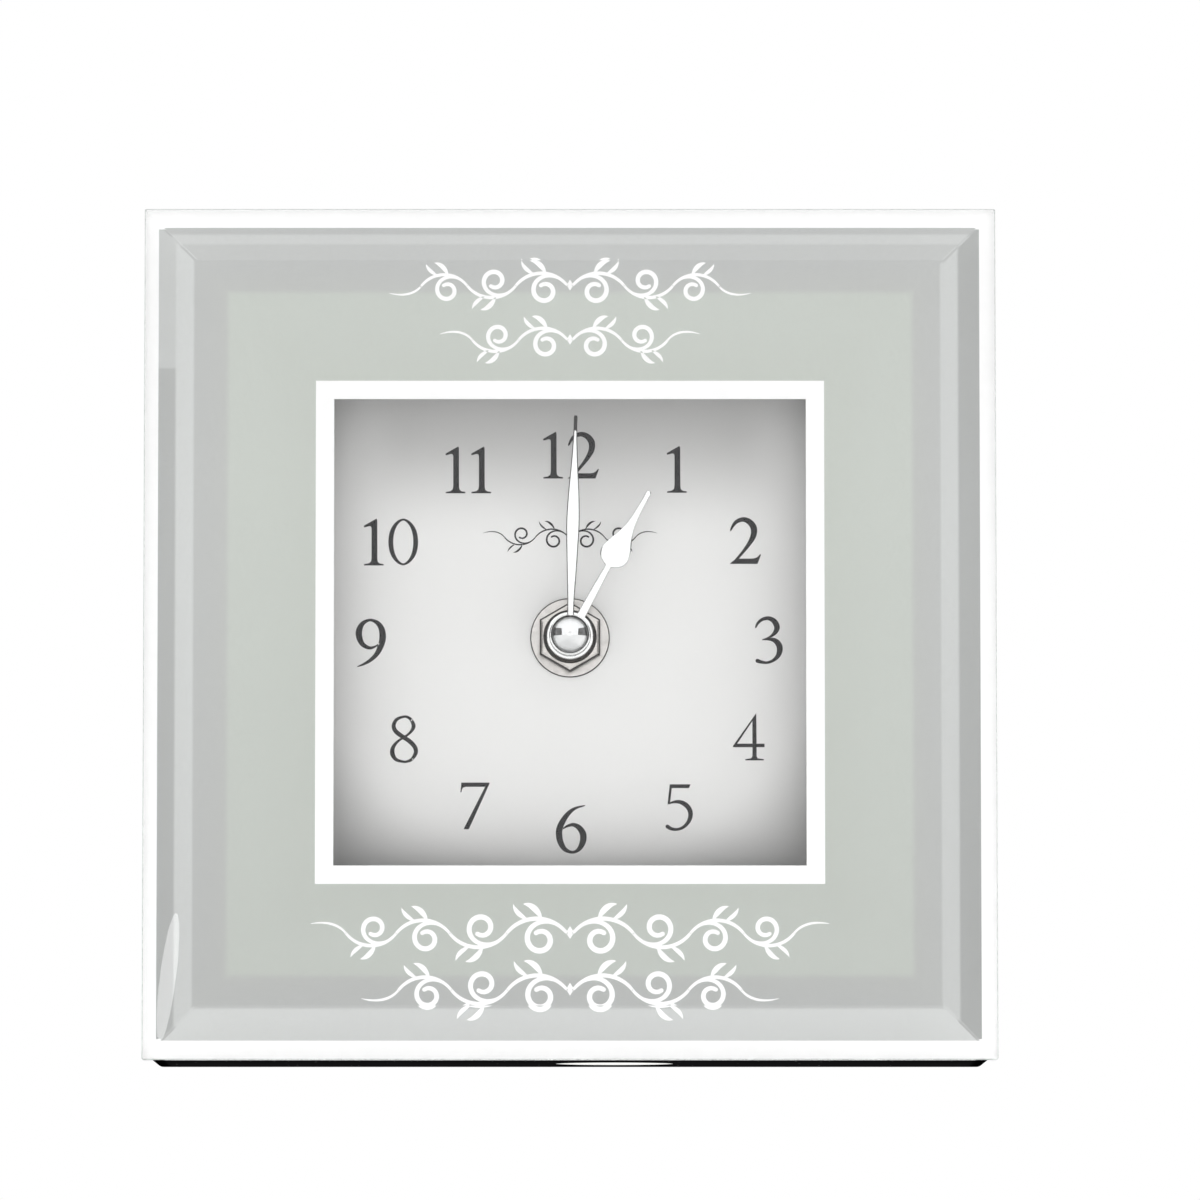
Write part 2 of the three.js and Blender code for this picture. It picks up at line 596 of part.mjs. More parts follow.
function buildMinuteHand() {
  const blade = mirroredOutline([
    ...stations([
      [0, MINUTE_BASE_WIDTH / 2],
      [MINUTE_BELLY_AT * 0.3, MINUTE_BASE_WIDTH / 2 + 0.05],
      [MINUTE_BELLY_AT * 0.75, MINUTE_BELLY_WIDTH / 2 - 0.18],
      [MINUTE_BELLY_AT, MINUTE_BELLY_WIDTH / 2],
      [MINUTE_BELLY_AT + (MINUTE_LENGTH - MINUTE_BELLY_AT) * 0.28, MINUTE_BELLY_WIDTH / 2 - 0.2],
      [MINUTE_BELLY_AT + (MINUTE_LENGTH - MINUTE_BELLY_AT) * 0.8, MINUTE_TIP_WIDTH / 2 + 0.04],
      [MINUTE_LENGTH - MINUTE_TIP_WIDTH * 0.2, MINUTE_TIP_WIDTH / 2],
    ], 20),
    [MINUTE_LENGTH, MINUTE_TIP_WIDTH * 0.35],
  ]);
  const hand = cut(
    join(slab(blade, minuteHandFront, minuteHandBack),
      disc(MINUTE_BOSS_RADIUS, minuteHandFront, minuteHandBack)),
    disc(HAND_SEAT_RADIUS + TURNING, minuteHandFront - FIT, minuteHandBack + FIT, ORIGIN, SMALL_SIDES));
  add('minute_hand', turnHand(hand, MINUTE_ANGLE), polishedAluminium);
}

// A spade with a straight stem, a round-shouldered blade and a long hollow taper to a round tip
function hourOutline() {
  const widest = HOUR_BLADE_WIDTH / 2;
  const stem = HOUR_STEM_WIDTH / 2;
  const tip = HOUR_TIP_WIDTH / 2;
  const shoulder = HOUR_BLADE_WIDEST_AT - HOUR_BLADE_START;
  const taper = HOUR_NECK_AT - HOUR_BLADE_WIDEST_AT;
  const tipCentre = HOUR_LENGTH - tip;
  const tipArc = [0, 30, 60, 80].map((degrees) => THREE.MathUtils.degToRad(degrees));
  return mirroredOutline([
    [0, stem],
    [HOUR_BLADE_START, stem],
    ...stations([
      [HOUR_BLADE_START + 0.1, stem + 0.35],
      [HOUR_BLADE_START + shoulder * 0.25, widest * 0.68],
      [HOUR_BLADE_START + shoulder * 0.6, widest * 0.93],
      [HOUR_BLADE_WIDEST_AT, widest],
      [HOUR_BLADE_WIDEST_AT + taper * 0.3, widest * 0.78],
      [HOUR_BLADE_WIDEST_AT + taper * 0.62, widest * 0.45],
      [HOUR_NECK_AT, tip + 0.16],
      [HOUR_NECK_AT + (tipCentre - HOUR_NECK_AT) * 0.5, tip + 0.02],
    ], 22),
    ...tipArc.map((angle) => [tipCentre + tip * Math.sin(angle), tip * Math.cos(angle)]),
  ]);
}

function buildHourHand() {
  const bore = disc(hourBoreRadius, hourHandFront - FIT, hourHandBack + FIT);
  const hand = cut(
    join(slab(hourOutline(), hourHandFront, hourHandBack),
      disc(COLLAR_RADIUS, hourHandFront, hourHandBack)),
    bore);
  add('hour_hand', turnHand(hand, HOUR_ANGLE), polishedAluminium);
  const collar = [
    [hourBoreRadius, hourHandBack], [COLLAR_RADIUS, hourHandBack],
    [COLLAR_RADIUS, collarBack - COLLAR_STEP], [COLLAR_WAIST_RADIUS, collarBack],
    [hourBoreRadius, collarBack], [hourBoreRadius, hourHandBack]];
  add('hour_collar', atHub(turned(collar)), chrome);
}

function buildCap() {
  const skirtFront = minuteHandFront - CAP_SKIRT;
  const boreFront = minuteHandFront - CAP_BORE_DEPTH;
  const bore = HAND_SEAT_RADIUS + TURNING;
  const dome = Array.from({ length: 9 }, (_, i) => {
    const angle = i * Math.PI / 16;
    return [CAP_RADIUS * Math.cos(angle), skirtFront - CAP_DOME * Math.sin(angle)];
  });
  dome[8] = [0, capFront];
  add('cap_nut', atHub(turned([
    [0, boreFront], [bore, boreFront], [bore, minuteHandFront], [CAP_RADIUS, minuteHandFront],
    ...dome])), chrome);
}

// The movement's housing: a gear space and, below it, the battery bay, both open at the back
function buildHousing() {
  const shell = block(-housingHalf, housingHalf, movementFront, movementBack, -housingHalf, housingHalf);
  const past = movementBack + FIT;
  const gearSpace = block(-cavityHalf, cavityHalf, cavityFront, past, cavityBottom, cavityHalf);
  const bay = block(-cavityHalf, cavityHalf, cavityFront, past, -cavityHalf, bayTop);
  const flange = BUSHING_FLANGE_THICKNESS + FIT;
  const stud = disc(
    STUD_RADIUS, cavityFront - PIVOT_DEPTH, minuteWheelBack + PINION_OVERHANG, minuteAxis, SMALL_SIDES);
  const pivots = [thirdAxis, knobAxis].map((axis) => disc(
    ARBOR_RADIUS + TURNING, cavityFront - PIVOT_DEPTH - FIT, cavityFront + FIT, axis, SMALL_SIDES));
  const body = cut(
    shell, gearSpace, bay,
    disc(BUSHING_RADIUS + THREAD_PLAY, movementFront - FIT, cavityFront),
    disc(BUSHING_FLANGE_RADIUS + FIT, cavityFront - flange, cavityFront + FIT),
    ...pivots);
  add('movement_housing', atHub(join(body, stud)), blackPlastic);
}

function buildCover() {
  const plate = block(
    -cavityHalf + FIT, cavityHalf - FIT, cavityBack, movementBack, cavityBottom + FIT, cavityHalf - FIT);
  const pivots = [thirdAxis, stepAxis, rotorAxis, ORIGIN].map((axis) => disc(
    ARBOR_RADIUS + TURNING, cavityBack - FIT, cavityBack + PIVOT_DEPTH + FIT, axis, SMALL_SIDES));
  const journal = disc(
    KNOB_JOURNAL_RADIUS + TURNING, cavityBack - FIT, movementBack + FIT, knobAxis, SMALL_SIDES * 2);
  add('movement_cover', atHub(cut(plate, ...pivots, journal)), blackPlastic);
}

const coilFoot = COIL_FROM_HUB[1] - COIL_LENGTH / 2;
const coilHead = COIL_FROM_HUB[1] + COIL_LENGTH / 2;
const coilMiddle = COIL_FROM_HUB[0];
const statorLeft = coilMiddle - COIL_CORE_WIDTH / 2;
const statorSpine = coilMiddle + COIL_FLANGE_RADIUS + LAYER_GAP;
const statorRight = rotorAxis[0] + STATOR_HOLE_RADIUS + STATOR_ARM / 2;
const statorTop = coilHead + SEAT + STATOR_ARM;
const statorBottom = coilFoot - SEAT - STATOR_ARM;
const postPlaces = [
  [statorSpine + POST_RADIUS, statorTop - STATOR_ARM / 2],
  [statorSpine + POST_RADIUS, statorBottom + STATOR_ARM / 2],
];

// The middle plate carries the inner pivots, and its two posts carry the stator
function buildMiddlePlate() {
  const plate = block(
    -cavityHalf + FIT, cavityHalf - FIT, plateFront, plateBack, cavityBottom + FIT, cavityHalf - FIT);
  const posts = postPlaces.map((axis) => disc(
    POST_RADIUS, plateBack - PIVOT_DEPTH, statorFront, axis, SMALL_SIDES));
  const through = (radius, axis) => disc(radius, plateFront - FIT, plateBack + FIT, axis, SMALL_SIDES * 2);
  const blind = (axis) => disc(
    ARBOR_RADIUS + TURNING, plateBack - PIVOT_DEPTH, plateBack + FIT, axis, SMALL_SIDES);
  const body = cut(
    plate, through(CLUTCH_RADIUS + TURNING, ORIGIN), through(HUB_RADIUS + FIT, thirdAxis),
    through(KNOB_JOURNAL_RADIUS, knobAxis), blind(stepAxis), blind(rotorAxis));
  add('middle_plate', atHub(join(body, ...posts)), whitePlastic);
}

// The arbor that carries the minute hand, with the cannon pinion and the seat of the friction drive
function buildMinuteArbor() {
  const pinionFront = minuteWheelFront - PINION_OVERHANG;
  const pinionBack = minuteWheelBack + PINION_OVERHANG;
  const shaft = turned([
    [0, minuteHandFront - CAP_BORE_DEPTH + FIT], [HAND_SEAT_RADIUS, minuteHandFront - CAP_BORE_DEPTH + FIT],
    [HAND_SEAT_RADIUS, minuteHandBack], [MINUTE_ARBOR_RADIUS, minuteHandBack],
    [MINUTE_ARBOR_RADIUS, pinionFront + FIT], [CLUTCH_RADIUS, pinionFront + FIT],
    [CLUTCH_RADIUS, plateBack + SEAT / 2], [0, plateBack + SEAT / 2]], ORIGIN, SMALL_SIDES * 2);
  const pinion = slab(gearShape(CANNON_TEETH, MOTION_MODULE, 0, ORIGIN), pinionFront, pinionBack);
  const pivotHole = disc(
    SECONDS_PIVOT_RADIUS + TURNING, plateFront, plateBack + SEAT, ORIGIN, SMALL_SIDES);
  add('minute_arbor', atHub(cut(join(shaft, pinion), pivotHole)), steel);
}

function buildHourWheel() {
  const bore = MINUTE_ARBOR_RADIUS + TURNING;
  const wheel = slab(
    gearShape(HOUR_WHEEL_TEETH, hourModule, hourPhase, ORIGIN), hourWheelFront, hourWheelBack);
  const pipe = disc(hourPipeRadius, hourHandFront + TURNING, hourWheelBack);
  const hole = disc(bore, hourHandFront - FIT, hourWheelBack + FIT, ORIGIN, SMALL_SIDES * 2);
  add('hour_wheel', atHub(cut(join(wheel, pipe), hole)), whitePlastic);
}

function buildMinuteWheel() {
  const wheel = slab(
    gearShape(MINUTE_WHEEL_TEETH, MOTION_MODULE, minutePhase, minuteAxis), minuteWheelFront, minuteWheelBack);
  const pinion = slab(
    gearShape(MINUTE_PINION_TEETH, hourModule, minutePhase, minuteAxis),
    hourWheelFront - PINION_OVERHANG, minuteWheelFront + FIT);
  const hole = disc(STUD_RADIUS + TURNING, cavityFront, minuteWheelBack + FIT, minuteAxis, SMALL_SIDES);
  add('minute_wheel', atHub(cut(join(wheel, pinion), hole)), whitePlastic);
}

// The setting knob at the back, in one piece with its shaft and pinion
function buildKnob() {
  const pinionBack = minuteWheelBack + PINION_OVERHANG;
  const pinion = slab(
    gearShape(CANNON_TEETH, MOTION_MODULE, knobPhase, knobAxis),
    minuteWheelFront - PINION_OVERHANG, pinionBack);
  const shaft = turned([
    [0, cavityFront - PIVOT_DEPTH], [ARBOR_RADIUS, cavityFront - PIVOT_DEPTH],
    [ARBOR_RADIUS, pinionBack - FIT], [KNOB_SHAFT_RADIUS, pinionBack - FIT],
    [KNOB_SHAFT_RADIUS, cavityBack - SEAT], [KNOB_JOURNAL_RADIUS, cavityBack - SEAT],
    [KNOB_JOURNAL_RADIUS, movementBack + SEAT + FIT], [0, movementBack + SEAT + FIT]],
  knobAxis, SMALL_SIDES * 2);
  const rim = Array.from({ length: 4 * KNOB_FLUTES }, (_, i) => {
    const radius = KNOB_RADIUS - (i % 4 < 2 ? 0 : KNOB_FLUTE_DEPTH);
    const [x, z] = stepFrom(knobAxis, radius, i * Math.PI / (2 * KNOB_FLUTES));
    return new THREE.Vector2(x, z);
  });
  const head = slab(new THREE.Shape(rim), movementBack + SEAT, movementBack + SEAT + KNOB_HEIGHT);
  add('set_knob', atHub(join(shaft, pinion, head)), blackPlastic);
}

// A wheel and its pinion on one arbor
function gearUnit({ axis, teeth, module, phase, front, back, pinionTeeth, pinionModule, pinionFront,
  pinionBack, arborFront, arborBack }) {
  const parts = [
    slab(gearShape(teeth, module, phase, axis), front, back),
    slab(gearShape(pinionTeeth, pinionModule, phase, axis), pinionFront, pinionBack),
    disc(ARBOR_RADIUS, arborFront, arborBack, axis, SMALL_SIDES),
  ];
  const hub = [Math.min(back, pinionBack) - FIT, Math.max(front, pinionFront) + FIT];
  if (hub[1] > hub[0]) {
    parts.push(disc(HUB_RADIUS, hub[0], hub[1], axis, SMALL_SIDES));
  }
  return join(...parts);
}

function buildTrain() {
  const arborBack = cavityBack + PIVOT_DEPTH;
  const innerPivot = plateBack - PIVOT_DEPTH + TURNING;
  const wheelBore = disc(
    CLUTCH_RADIUS + TURNING, centreWheelFront - FIT, centreWheelBack + FIT, ORIGIN, SMALL_SIDES * 2);
  add('centre_wheel', atHub(cut(
    slab(gearShape(CENTRE_WHEEL_TEETH, CENTRE_MODULE, 0, ORIGIN), centreWheelFront, centreWheelBack),
    wheelBore)), whitePlastic);
  add('third_wheel', atHub(gearUnit({
    axis: thirdAxis, teeth: THIRD_WHEEL_TEETH, module: thirdModule, phase: thirdPhase,
    front: thirdWheelFront, back: thirdWheelBack,
    pinionTeeth: THIRD_PINION_TEETH, pinionModule: CENTRE_MODULE,
    pinionFront: centreWheelFront - PINION_OVERHANG, pinionBack: centreWheelBack + PINION_OVERHANG,
    arborFront: cavityFront - PIVOT_DEPTH, arborBack,
  })), redPlastic);
  const seconds = gearUnit({
    axis: ORIGIN, teeth: SECONDS_WHEEL_TEETH, module: SECONDS_MODULE, phase: secondsPhase,
    front: secondsWheelFront, back: secondsWheelBack,
    pinionTeeth: SECONDS_PINION_TEETH, pinionModule: thirdModule,
    pinionFront: thirdWheelFront - PINION_OVERHANG, pinionBack: thirdWheelBack + PINION_OVERHANG,
    arborFront: thirdWheelFront, arborBack,
  });
  const pivot = disc(
    SECONDS_PIVOT_RADIUS, plateFront + TURNING, thirdWheelFront + FIT, ORIGIN, SMALL_SIDES);
  add('seconds_wheel', atHub(join(seconds, pivot)), whitePlastic);
  add('step_wheel', atHub(gearUnit({
    axis: stepAxis, teeth: STEP_WHEEL_TEETH, module: ROTOR_MODULE, phase: stepPhase,
    front: stepWheelFront, back: stepWheelBack,
    pinionTeeth: STEP_PINION_TEETH, pinionModule: SECONDS_MODULE,
    pinionFront: secondsWheelFront - PINION_OVERHANG, pinionBack: secondsWheelBack + PINION_OVERHANG,
    arborFront: innerPivot, arborBack,
  })), redPlastic);
  const rotorPinion = slab(
    gearShape(ROTOR_PINION_TEETH, ROTOR_MODULE, rotorPhase, rotorAxis),
    stepWheelFront - PINION_OVERHANG, stepWheelBack + PINION_OVERHANG);
  add('rotor_pinion', atHub(join(
    rotorPinion, disc(ARBOR_RADIUS, innerPivot, arborBack, rotorAxis, SMALL_SIDES))), whitePlastic);
  const magnetFront = statorFront + (STATOR_THICKNESS - MAGNET_HEIGHT) / 2;
  add('rotor_magnet', atHub(ring(
    ARBOR_RADIUS + TURNING / 2, MAGNET_RADIUS, magnetFront, magnetFront + MAGNET_HEIGHT,
    rotorAxis, SMALL_SIDES)), magnetIron);
}

// The stepping motor: stator, core, bobbin and winding
function buildMotor() {
  const outline = new THREE.Shape([
    [statorLeft, statorTop], [statorRight, statorTop],
    [statorRight, rotorAxis[1] - STATOR_HOLE_RADIUS - STATOR_ARM / 2],
    [statorSpine + STATOR_ARM, rotorAxis[1] - STATOR_HOLE_RADIUS - STATOR_ARM / 2],
    [statorSpine + STATOR_ARM, statorBottom], [statorLeft, statorBottom],
    [statorLeft, statorBottom + STATOR_ARM], [statorSpine, statorBottom + STATOR_ARM],
    [statorSpine, statorTop - STATOR_ARM], [statorLeft, statorTop - STATOR_ARM],
  ].map(([x, z]) => new THREE.Vector2(x, z)));
  const rotorHole = disc(
    STATOR_HOLE_RADIUS, statorFront - FIT, statorBack + FIT, rotorAxis, SMALL_SIDES * 2);
  add('stator_plate', atHub(cut(slab(outline, statorFront, statorBack), rotorHole)), steel);
  add('coil_core', atHub(block(
    statorLeft, coilMiddle + COIL_CORE_WIDTH / 2, coreFront, statorFront, statorBottom, statorTop)), steel);

  const alongCoil = (geometry) => atHub(closed(
    geometry.rotateX(Math.PI / 2).translate(coilMiddle, coilDepth - CASE_DEPTH / 2, COIL_FROM_HUB[1])));
  const lathe = (profile) => new THREE.LatheGeometry(
    profile.map(([radius, along]) => new THREE.Vector2(radius, along)), SMALL_SIDES * 2);
  const end = COIL_LENGTH / 2;
  const inner = end - COIL_FLANGE_THICKNESS;
  const spool = alongCoil(lathe([
    [0, -end], [COIL_FLANGE_RADIUS, -end], [COIL_FLANGE_RADIUS, -inner], [COIL_TUBE_RADIUS, -inner],
    [COIL_TUBE_RADIUS, inner], [COIL_FLANGE_RADIUS, inner], [COIL_FLANGE_RADIUS, end], [0, end]]));
  const slot = atHub(block(
    statorLeft - TURNING, coilMiddle + COIL_CORE_WIDTH / 2 + TURNING,
    coreFront - TURNING, statorFront + TURNING, coilFoot - SEAT, coilHead + SEAT));
  add('coil_bobbin', cut(spool, slot), whitePlastic);
  const first = COIL_TUBE_RADIUS + TURNING / 2;
  const run = inner - TURNING;
  add('coil_winding', alongCoil(lathe([
    [first, -run], [COIL_WINDING_RADIUS, -run], [COIL_WINDING_RADIUS, run], [first, run],
    [first, -run]])), copper);
}

// The circuit board with its chip and crystal, beside the gears
function buildElectronics() {
  const left = thirdAxis[0] + STATOR_ARM;
  const right = cavityHalf - FIT;
  const bottom = knobAxis[1] + KNOB_JOURNAL_RADIUS + STATOR_ARM;
  const top = cavityHalf - FIT;
  const chipLeft = left + STATOR_ARM;
  const chipBottom = top - STATOR_ARM - CHIP_SIZE;
  add('circuit_board', atHub(block(left, right, boardFront, boardBack, bottom, top)), greenBoard);
  add('chip_cover', atHub(block(
    chipLeft, chipLeft + CHIP_SIZE, boardFront - CHIP_HEIGHT, boardFront,
    chipBottom, chipBottom + CHIP_SIZE)), blackPlastic);
  const can = new THREE.CylinderGeometry(CRYSTAL_RADIUS, CRYSTAL_RADIUS, CRYSTAL_LENGTH, SMALL_SIDES);
  can.rotateX(Math.PI / 2);
  can.translate(
    right - CRYSTAL_RADIUS - SEAT, boardFront - CRYSTAL_RADIUS - FIT / 2 - CASE_DEPTH / 2,
    bottom + SEAT + CRYSTAL_LENGTH / 2);
  add('quartz_crystal', atHub(closed(can)), steel);
}

// The battery, with a flat contact at its button and a bent leaf at its foot
function buildBattery() {
  const along = (profile, sides) => {
    const points = profile.map(([radius, x]) => new THREE.Vector2(radius, x));
    const geometry = new THREE.LatheGeometry(points, sides);
    geometry.rotateZ(-Math.PI / 2);
    geometry.translate(0, batteryDepth - CASE_DEPTH / 2, batteryHeight);
    return atHub(closed(geometry));
  };
  add('battery', along([
    [0, batteryFoot], [BATTERY_RADIUS, batteryFoot], [BATTERY_RADIUS, batteryBodyEnd],
    [BATTERY_BUTTON_RADIUS, batteryBodyEnd], [BATTERY_BUTTON_RADIUS, batteryButtonEnd],
    [0, batteryButtonEnd]], ROUND_SIDES), batteryJacket);
  const reach = BATTERY_RADIUS * 0.6;
  const contactRight = cavityHalf - FIT;
  add('contact_positive', atHub(block(
    contactRight - CONTACT_THICKNESS, contactRight, cavityFront + FIT, batteryDepth + reach,
    batteryHeight - reach, batteryHeight + reach)), steel);
  const wallSide = -cavityHalf + FIT;
  const tipSide = batteryFoot - CONTACT_GAP;
  const leaf = new THREE.Shape([
    [wallSide, batteryHeight - reach], [wallSide + CONTACT_THICKNESS, batteryHeight - reach],
    [tipSide, batteryHeight], [wallSide + CONTACT_THICKNESS, batteryHeight + reach],
    [wallSide, batteryHeight + reach], [wallSide, batteryHeight + reach - CONTACT_THICKNESS],
    [tipSide - CONTACT_THICKNESS, batteryHeight],
    [wallSide, batteryHeight - reach + CONTACT_THICKNESS],
  ].map(([x, z]) => new THREE.Vector2(x, z)));
  add('contact_negative', atHub(slab(leaf, cavityFront + FIT, batteryDepth + reach)), steel);
}

buildGlass();
buildFilm();
buildFlock();
buildCase();
buildScrews();
buildDial();
buildHub();
buildMinuteHand();
buildHourHand();
buildCap();
buildHousing();
buildCover();
buildMiddlePlate();
buildMinuteArbor();
buildHourWheel();
buildMinuteWheel();
buildKnob();
buildTrain();
buildMotor();
buildElectronics();
buildBattery();

export default clock;
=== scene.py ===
"""Square mantel clock: its looks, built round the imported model, in metres."""
import logging
import math
from dataclasses import dataclass
from enum import Enum
from itertools import pairwise
from typing import Callable

import bpy
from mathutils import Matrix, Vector


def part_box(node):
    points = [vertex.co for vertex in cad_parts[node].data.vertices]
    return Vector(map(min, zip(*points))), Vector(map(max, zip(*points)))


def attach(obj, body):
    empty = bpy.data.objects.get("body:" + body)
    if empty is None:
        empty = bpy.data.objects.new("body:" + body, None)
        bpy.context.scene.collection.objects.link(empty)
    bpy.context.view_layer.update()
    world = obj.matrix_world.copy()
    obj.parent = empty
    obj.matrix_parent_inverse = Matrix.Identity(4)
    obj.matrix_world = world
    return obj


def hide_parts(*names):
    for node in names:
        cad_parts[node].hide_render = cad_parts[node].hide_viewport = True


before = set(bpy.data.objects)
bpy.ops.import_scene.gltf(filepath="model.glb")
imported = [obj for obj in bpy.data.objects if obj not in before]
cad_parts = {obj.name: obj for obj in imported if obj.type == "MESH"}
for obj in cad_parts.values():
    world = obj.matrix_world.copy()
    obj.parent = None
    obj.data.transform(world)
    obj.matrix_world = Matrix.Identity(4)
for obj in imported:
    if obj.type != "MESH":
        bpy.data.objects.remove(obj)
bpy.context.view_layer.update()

log = logging.getLogger("mantel_clock")

MM = 0.001
MERGE_DISTANCE = 1e-7
FULL_TURN = 2 * math.pi
SMOOTH_ANGLE = math.radians(28)
RIGHT = Vector((1, 0, 0))
BACKWARDS = Vector((0, 1, 0))
UP = Vector((0, 0, 1))
# Half the face's width, which is also how high its middle lies
HALF_FACE = 80 * MM
# The hub's axis runs through here, to the back
HUB = UP * (sum(corner.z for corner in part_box("dial_washer")) / 2)
INK_THICKNESS = 0.04 * MM

Loop = list[tuple[float, float]]
Knot = tuple[float, float, float]
Triple = tuple[float, float, float]
Tree = bpy.types.NodeTree
Node = bpy.types.Node
Piece = bpy.types.Object
Settings = dict[str | int, object]


def linear(code: str) -> tuple[float, ...]:
    """Turns an sRGB hex colour to linear light.

    Args:
        code: The colour, such as "c8cdc6".

    Returns:
        Red, green, blue and an alpha of one.
    """
    channels = [int(code[i:i + 2], 16) / 255 for i in (0, 2, 4)]
    return (*(c / 12.92 if c <= 0.04045 else ((c + 0.055) / 1.055) ** 2.4 for c in channels), 1.0)


def add_node(tree: Tree, kind: str, settings: Settings) -> Node:
    """Adds a shader node with its settings and links.

    Args:
        tree: The node tree that takes the node.
        kind: The node's type name, without the word that all of them start with.
        settings: Values by the name or number of an input, or by the name of a property. A socket
            is linked, and a node stands for its first output.

    Returns:
        The new node.
    """
    made = tree.nodes.new("ShaderNode" + kind)
    for name, value in settings.items():
        if isinstance(value, Node):
            value = value.outputs[0]
        if isinstance(value, bpy.types.NodeSocket):
            tree.links.new(value, made.inputs[name])
        elif isinstance(name, int) or name in made.inputs:
            made.inputs[name].default_value = value
        else:
            setattr(made, name, value)
    return made


# Modelling by hand

class Carving(Enum):
    """What is left where one piece carves another."""

    OUTSIDE = "DIFFERENCE"
    SHARED = "INTERSECT"
    BOTH = "UNION"


def activate(*pieces: Piece) -> None:
    """Leaves edit mode and makes these the only selected pieces, the first of them active."""
    if bpy.context.object and bpy.context.object.mode != "OBJECT":
        bpy.ops.object.mode_set(mode="OBJECT")
    bpy.ops.object.select_all(action="DESELECT")
    for piece in pieces:
        piece.select_set(True)
    if pieces:
        bpy.context.view_layer.objects.active = pieces[0]


def settle() -> Piece:
    """Applies the active object's place to its mesh and returns it."""
    bpy.ops.object.transform_apply(location=True, rotation=True, scale=True)
    return bpy.context.object


def weld(piece: Piece) -> None:
    """Merges a piece's doubles, turns its faces outwards and shades it smooth between its edges.

    Args:
        piece: The piece.
    """
    activate(piece)
    bpy.ops.object.mode_set(mode="EDIT")
    bpy.ops.mesh.select_all(action="SELECT")
    bpy.ops.mesh.remove_doubles(threshold=MERGE_DISTANCE)
    bpy.ops.mesh.normals_make_consistent(inside=False)
    bpy.ops.object.mode_set(mode="OBJECT")
    bpy.ops.object.shade_smooth_by_angle(angle=SMOOTH_ANGLE)


def pick(piece: Piece, test: Callable[[Vector, Vector], bool], edges: bool = False) -> None:
    """Enters edit mode with only those faces or edges selected that pass a test.

    Args:
        piece: The piece to edit.
        test: Takes a face's middle and normal, or an edge's two ends.
        edges: Whether it picks edges and no faces.
    """
    activate(piece)
    bpy.ops.object.mode_set(mode="EDIT")
    bpy.ops.mesh.select_mode(type="EDGE" if edges else "FACE")
    bpy.ops.mesh.select_all(action="DESELECT")
    bpy.ops.object.mode_set(mode="OBJECT")
    mesh = piece.data
    if edges:
        for edge in mesh.edges:
            edge.select = test(*(mesh.vertices[i].co for i in edge.vertices))
    else:
        for face in mesh.polygons:
            face.select = test(face.center, face.normal)
    bpy.ops.object.mode_set(mode="EDIT")


def apply_modifier(piece: Piece, kind: str, **settings: object) -> None:
    """Changes a piece with a modifier.

    Args:
        piece: The piece.
        kind: The modifier's type.
        settings: Its properties.
    """
    activate(piece)
    modifier = piece.modifiers.new(kind.lower(), kind)
    for name, value in settings.items():
        setattr(modifier, name, value)
    bpy.ops.object.modifier_apply(modifier=modifier.name)


def soften(piece: Piece, width: float, segments: int, angle: float, even: bool = False) -> None:
    """Rounds the sharp edges of a piece and shades it smooth.

    Args:
        piece: The piece to round.
        width: How far the rounding reaches from each edge.
        segments: Steps across the rounding.
        angle: The least bend, in degrees, of an edge that is rounded.
        even: Whether flat faces are shaded flat up to the roundings.
    """
    apply_modifier(piece, "BEVEL", width=width, segments=segments, limit_method="ANGLE",
                   angle_limit=math.radians(angle))
    bpy.ops.object.shade_smooth_by_angle(angle=math.radians(angle))
    if even:
        apply_modifier(piece, "WEIGHTED_NORMAL", keep_sharp=True)


def carve(piece: Piece, tool: Piece, left: Carving = Carving.OUTSIDE) -> None:
    """Cuts a piece with another, joins them or keeps what they share, and deletes the other.

    Args:
        piece: The piece to cut.
        tool: The solid that cuts it.
        left: What is left of the two.
    """
    apply_modifier(piece, "BOOLEAN", object=tool, operation=left.value, solver="EXACT")
    bpy.data.objects.remove(tool)


def add_block(low: Vector, high: Vector) -> Piece:
    """Adds a block between two corners."""
    activate()
    bpy.ops.mesh.primitive_cube_add(size=1, location=(low + high) / 2, scale=high - low)
    return settle()


def add_cylinder(centre: Vector, radius: float, depth: float, sides: int = 48,
                 along: Vector = BACKWARDS) -> Piece:
    """Adds a cylinder.

    Args:
        centre: Its middle.
        radius: Its radius.
        depth: Its length.
        sides: The faces round it.
        along: The direction of its axis.

    Returns:
        The new object.
    """
    activate()
    turn = along.to_track_quat("Z", "X").to_euler()
    bpy.ops.mesh.primitive_cylinder_add(
        vertices=sides, radius=radius, depth=depth, location=centre, rotation=turn)
    return settle()


def turn_on_lathe(profile: Loop, centre: Vector, steps: int = 64, along: Vector = BACKWARDS) -> Piece:
    """Turns a piece from its profile, drawn point by point and then spun.

    Args:
        profile: Each point's radius and its distance from the centre along the axis. A profile
            that ends where it began is a ring's, and any other begins and ends on the axis.
        centre: A point of the axis.
        steps: The faces round the piece.
        along: The direction of the axis.

    Returns:
        The new object.
    """
    places = [centre + UP * radius + along * at for radius, at in profile]
    activate()
    bpy.ops.mesh.primitive_plane_add(size=MM, location=places[0])
    piece = settle()
    bpy.ops.object.mode_set(mode="EDIT")
    bpy.ops.mesh.select_mode(type="VERT")
    bpy.ops.mesh.select_all(action="SELECT")
    bpy.ops.mesh.merge(type="CENTER")
    for here, there in pairwise(places):
        bpy.ops.mesh.extrude_region_move(TRANSFORM_OT_translate={"value": there - here})
    bpy.ops.mesh.select_all(action="SELECT")
    bpy.ops.mesh.remove_doubles(threshold=MERGE_DISTANCE)
    bpy.ops.mesh.spin(steps=steps, angle=FULL_TURN, center=centre, axis=along)
    weld(piece)
    return piece


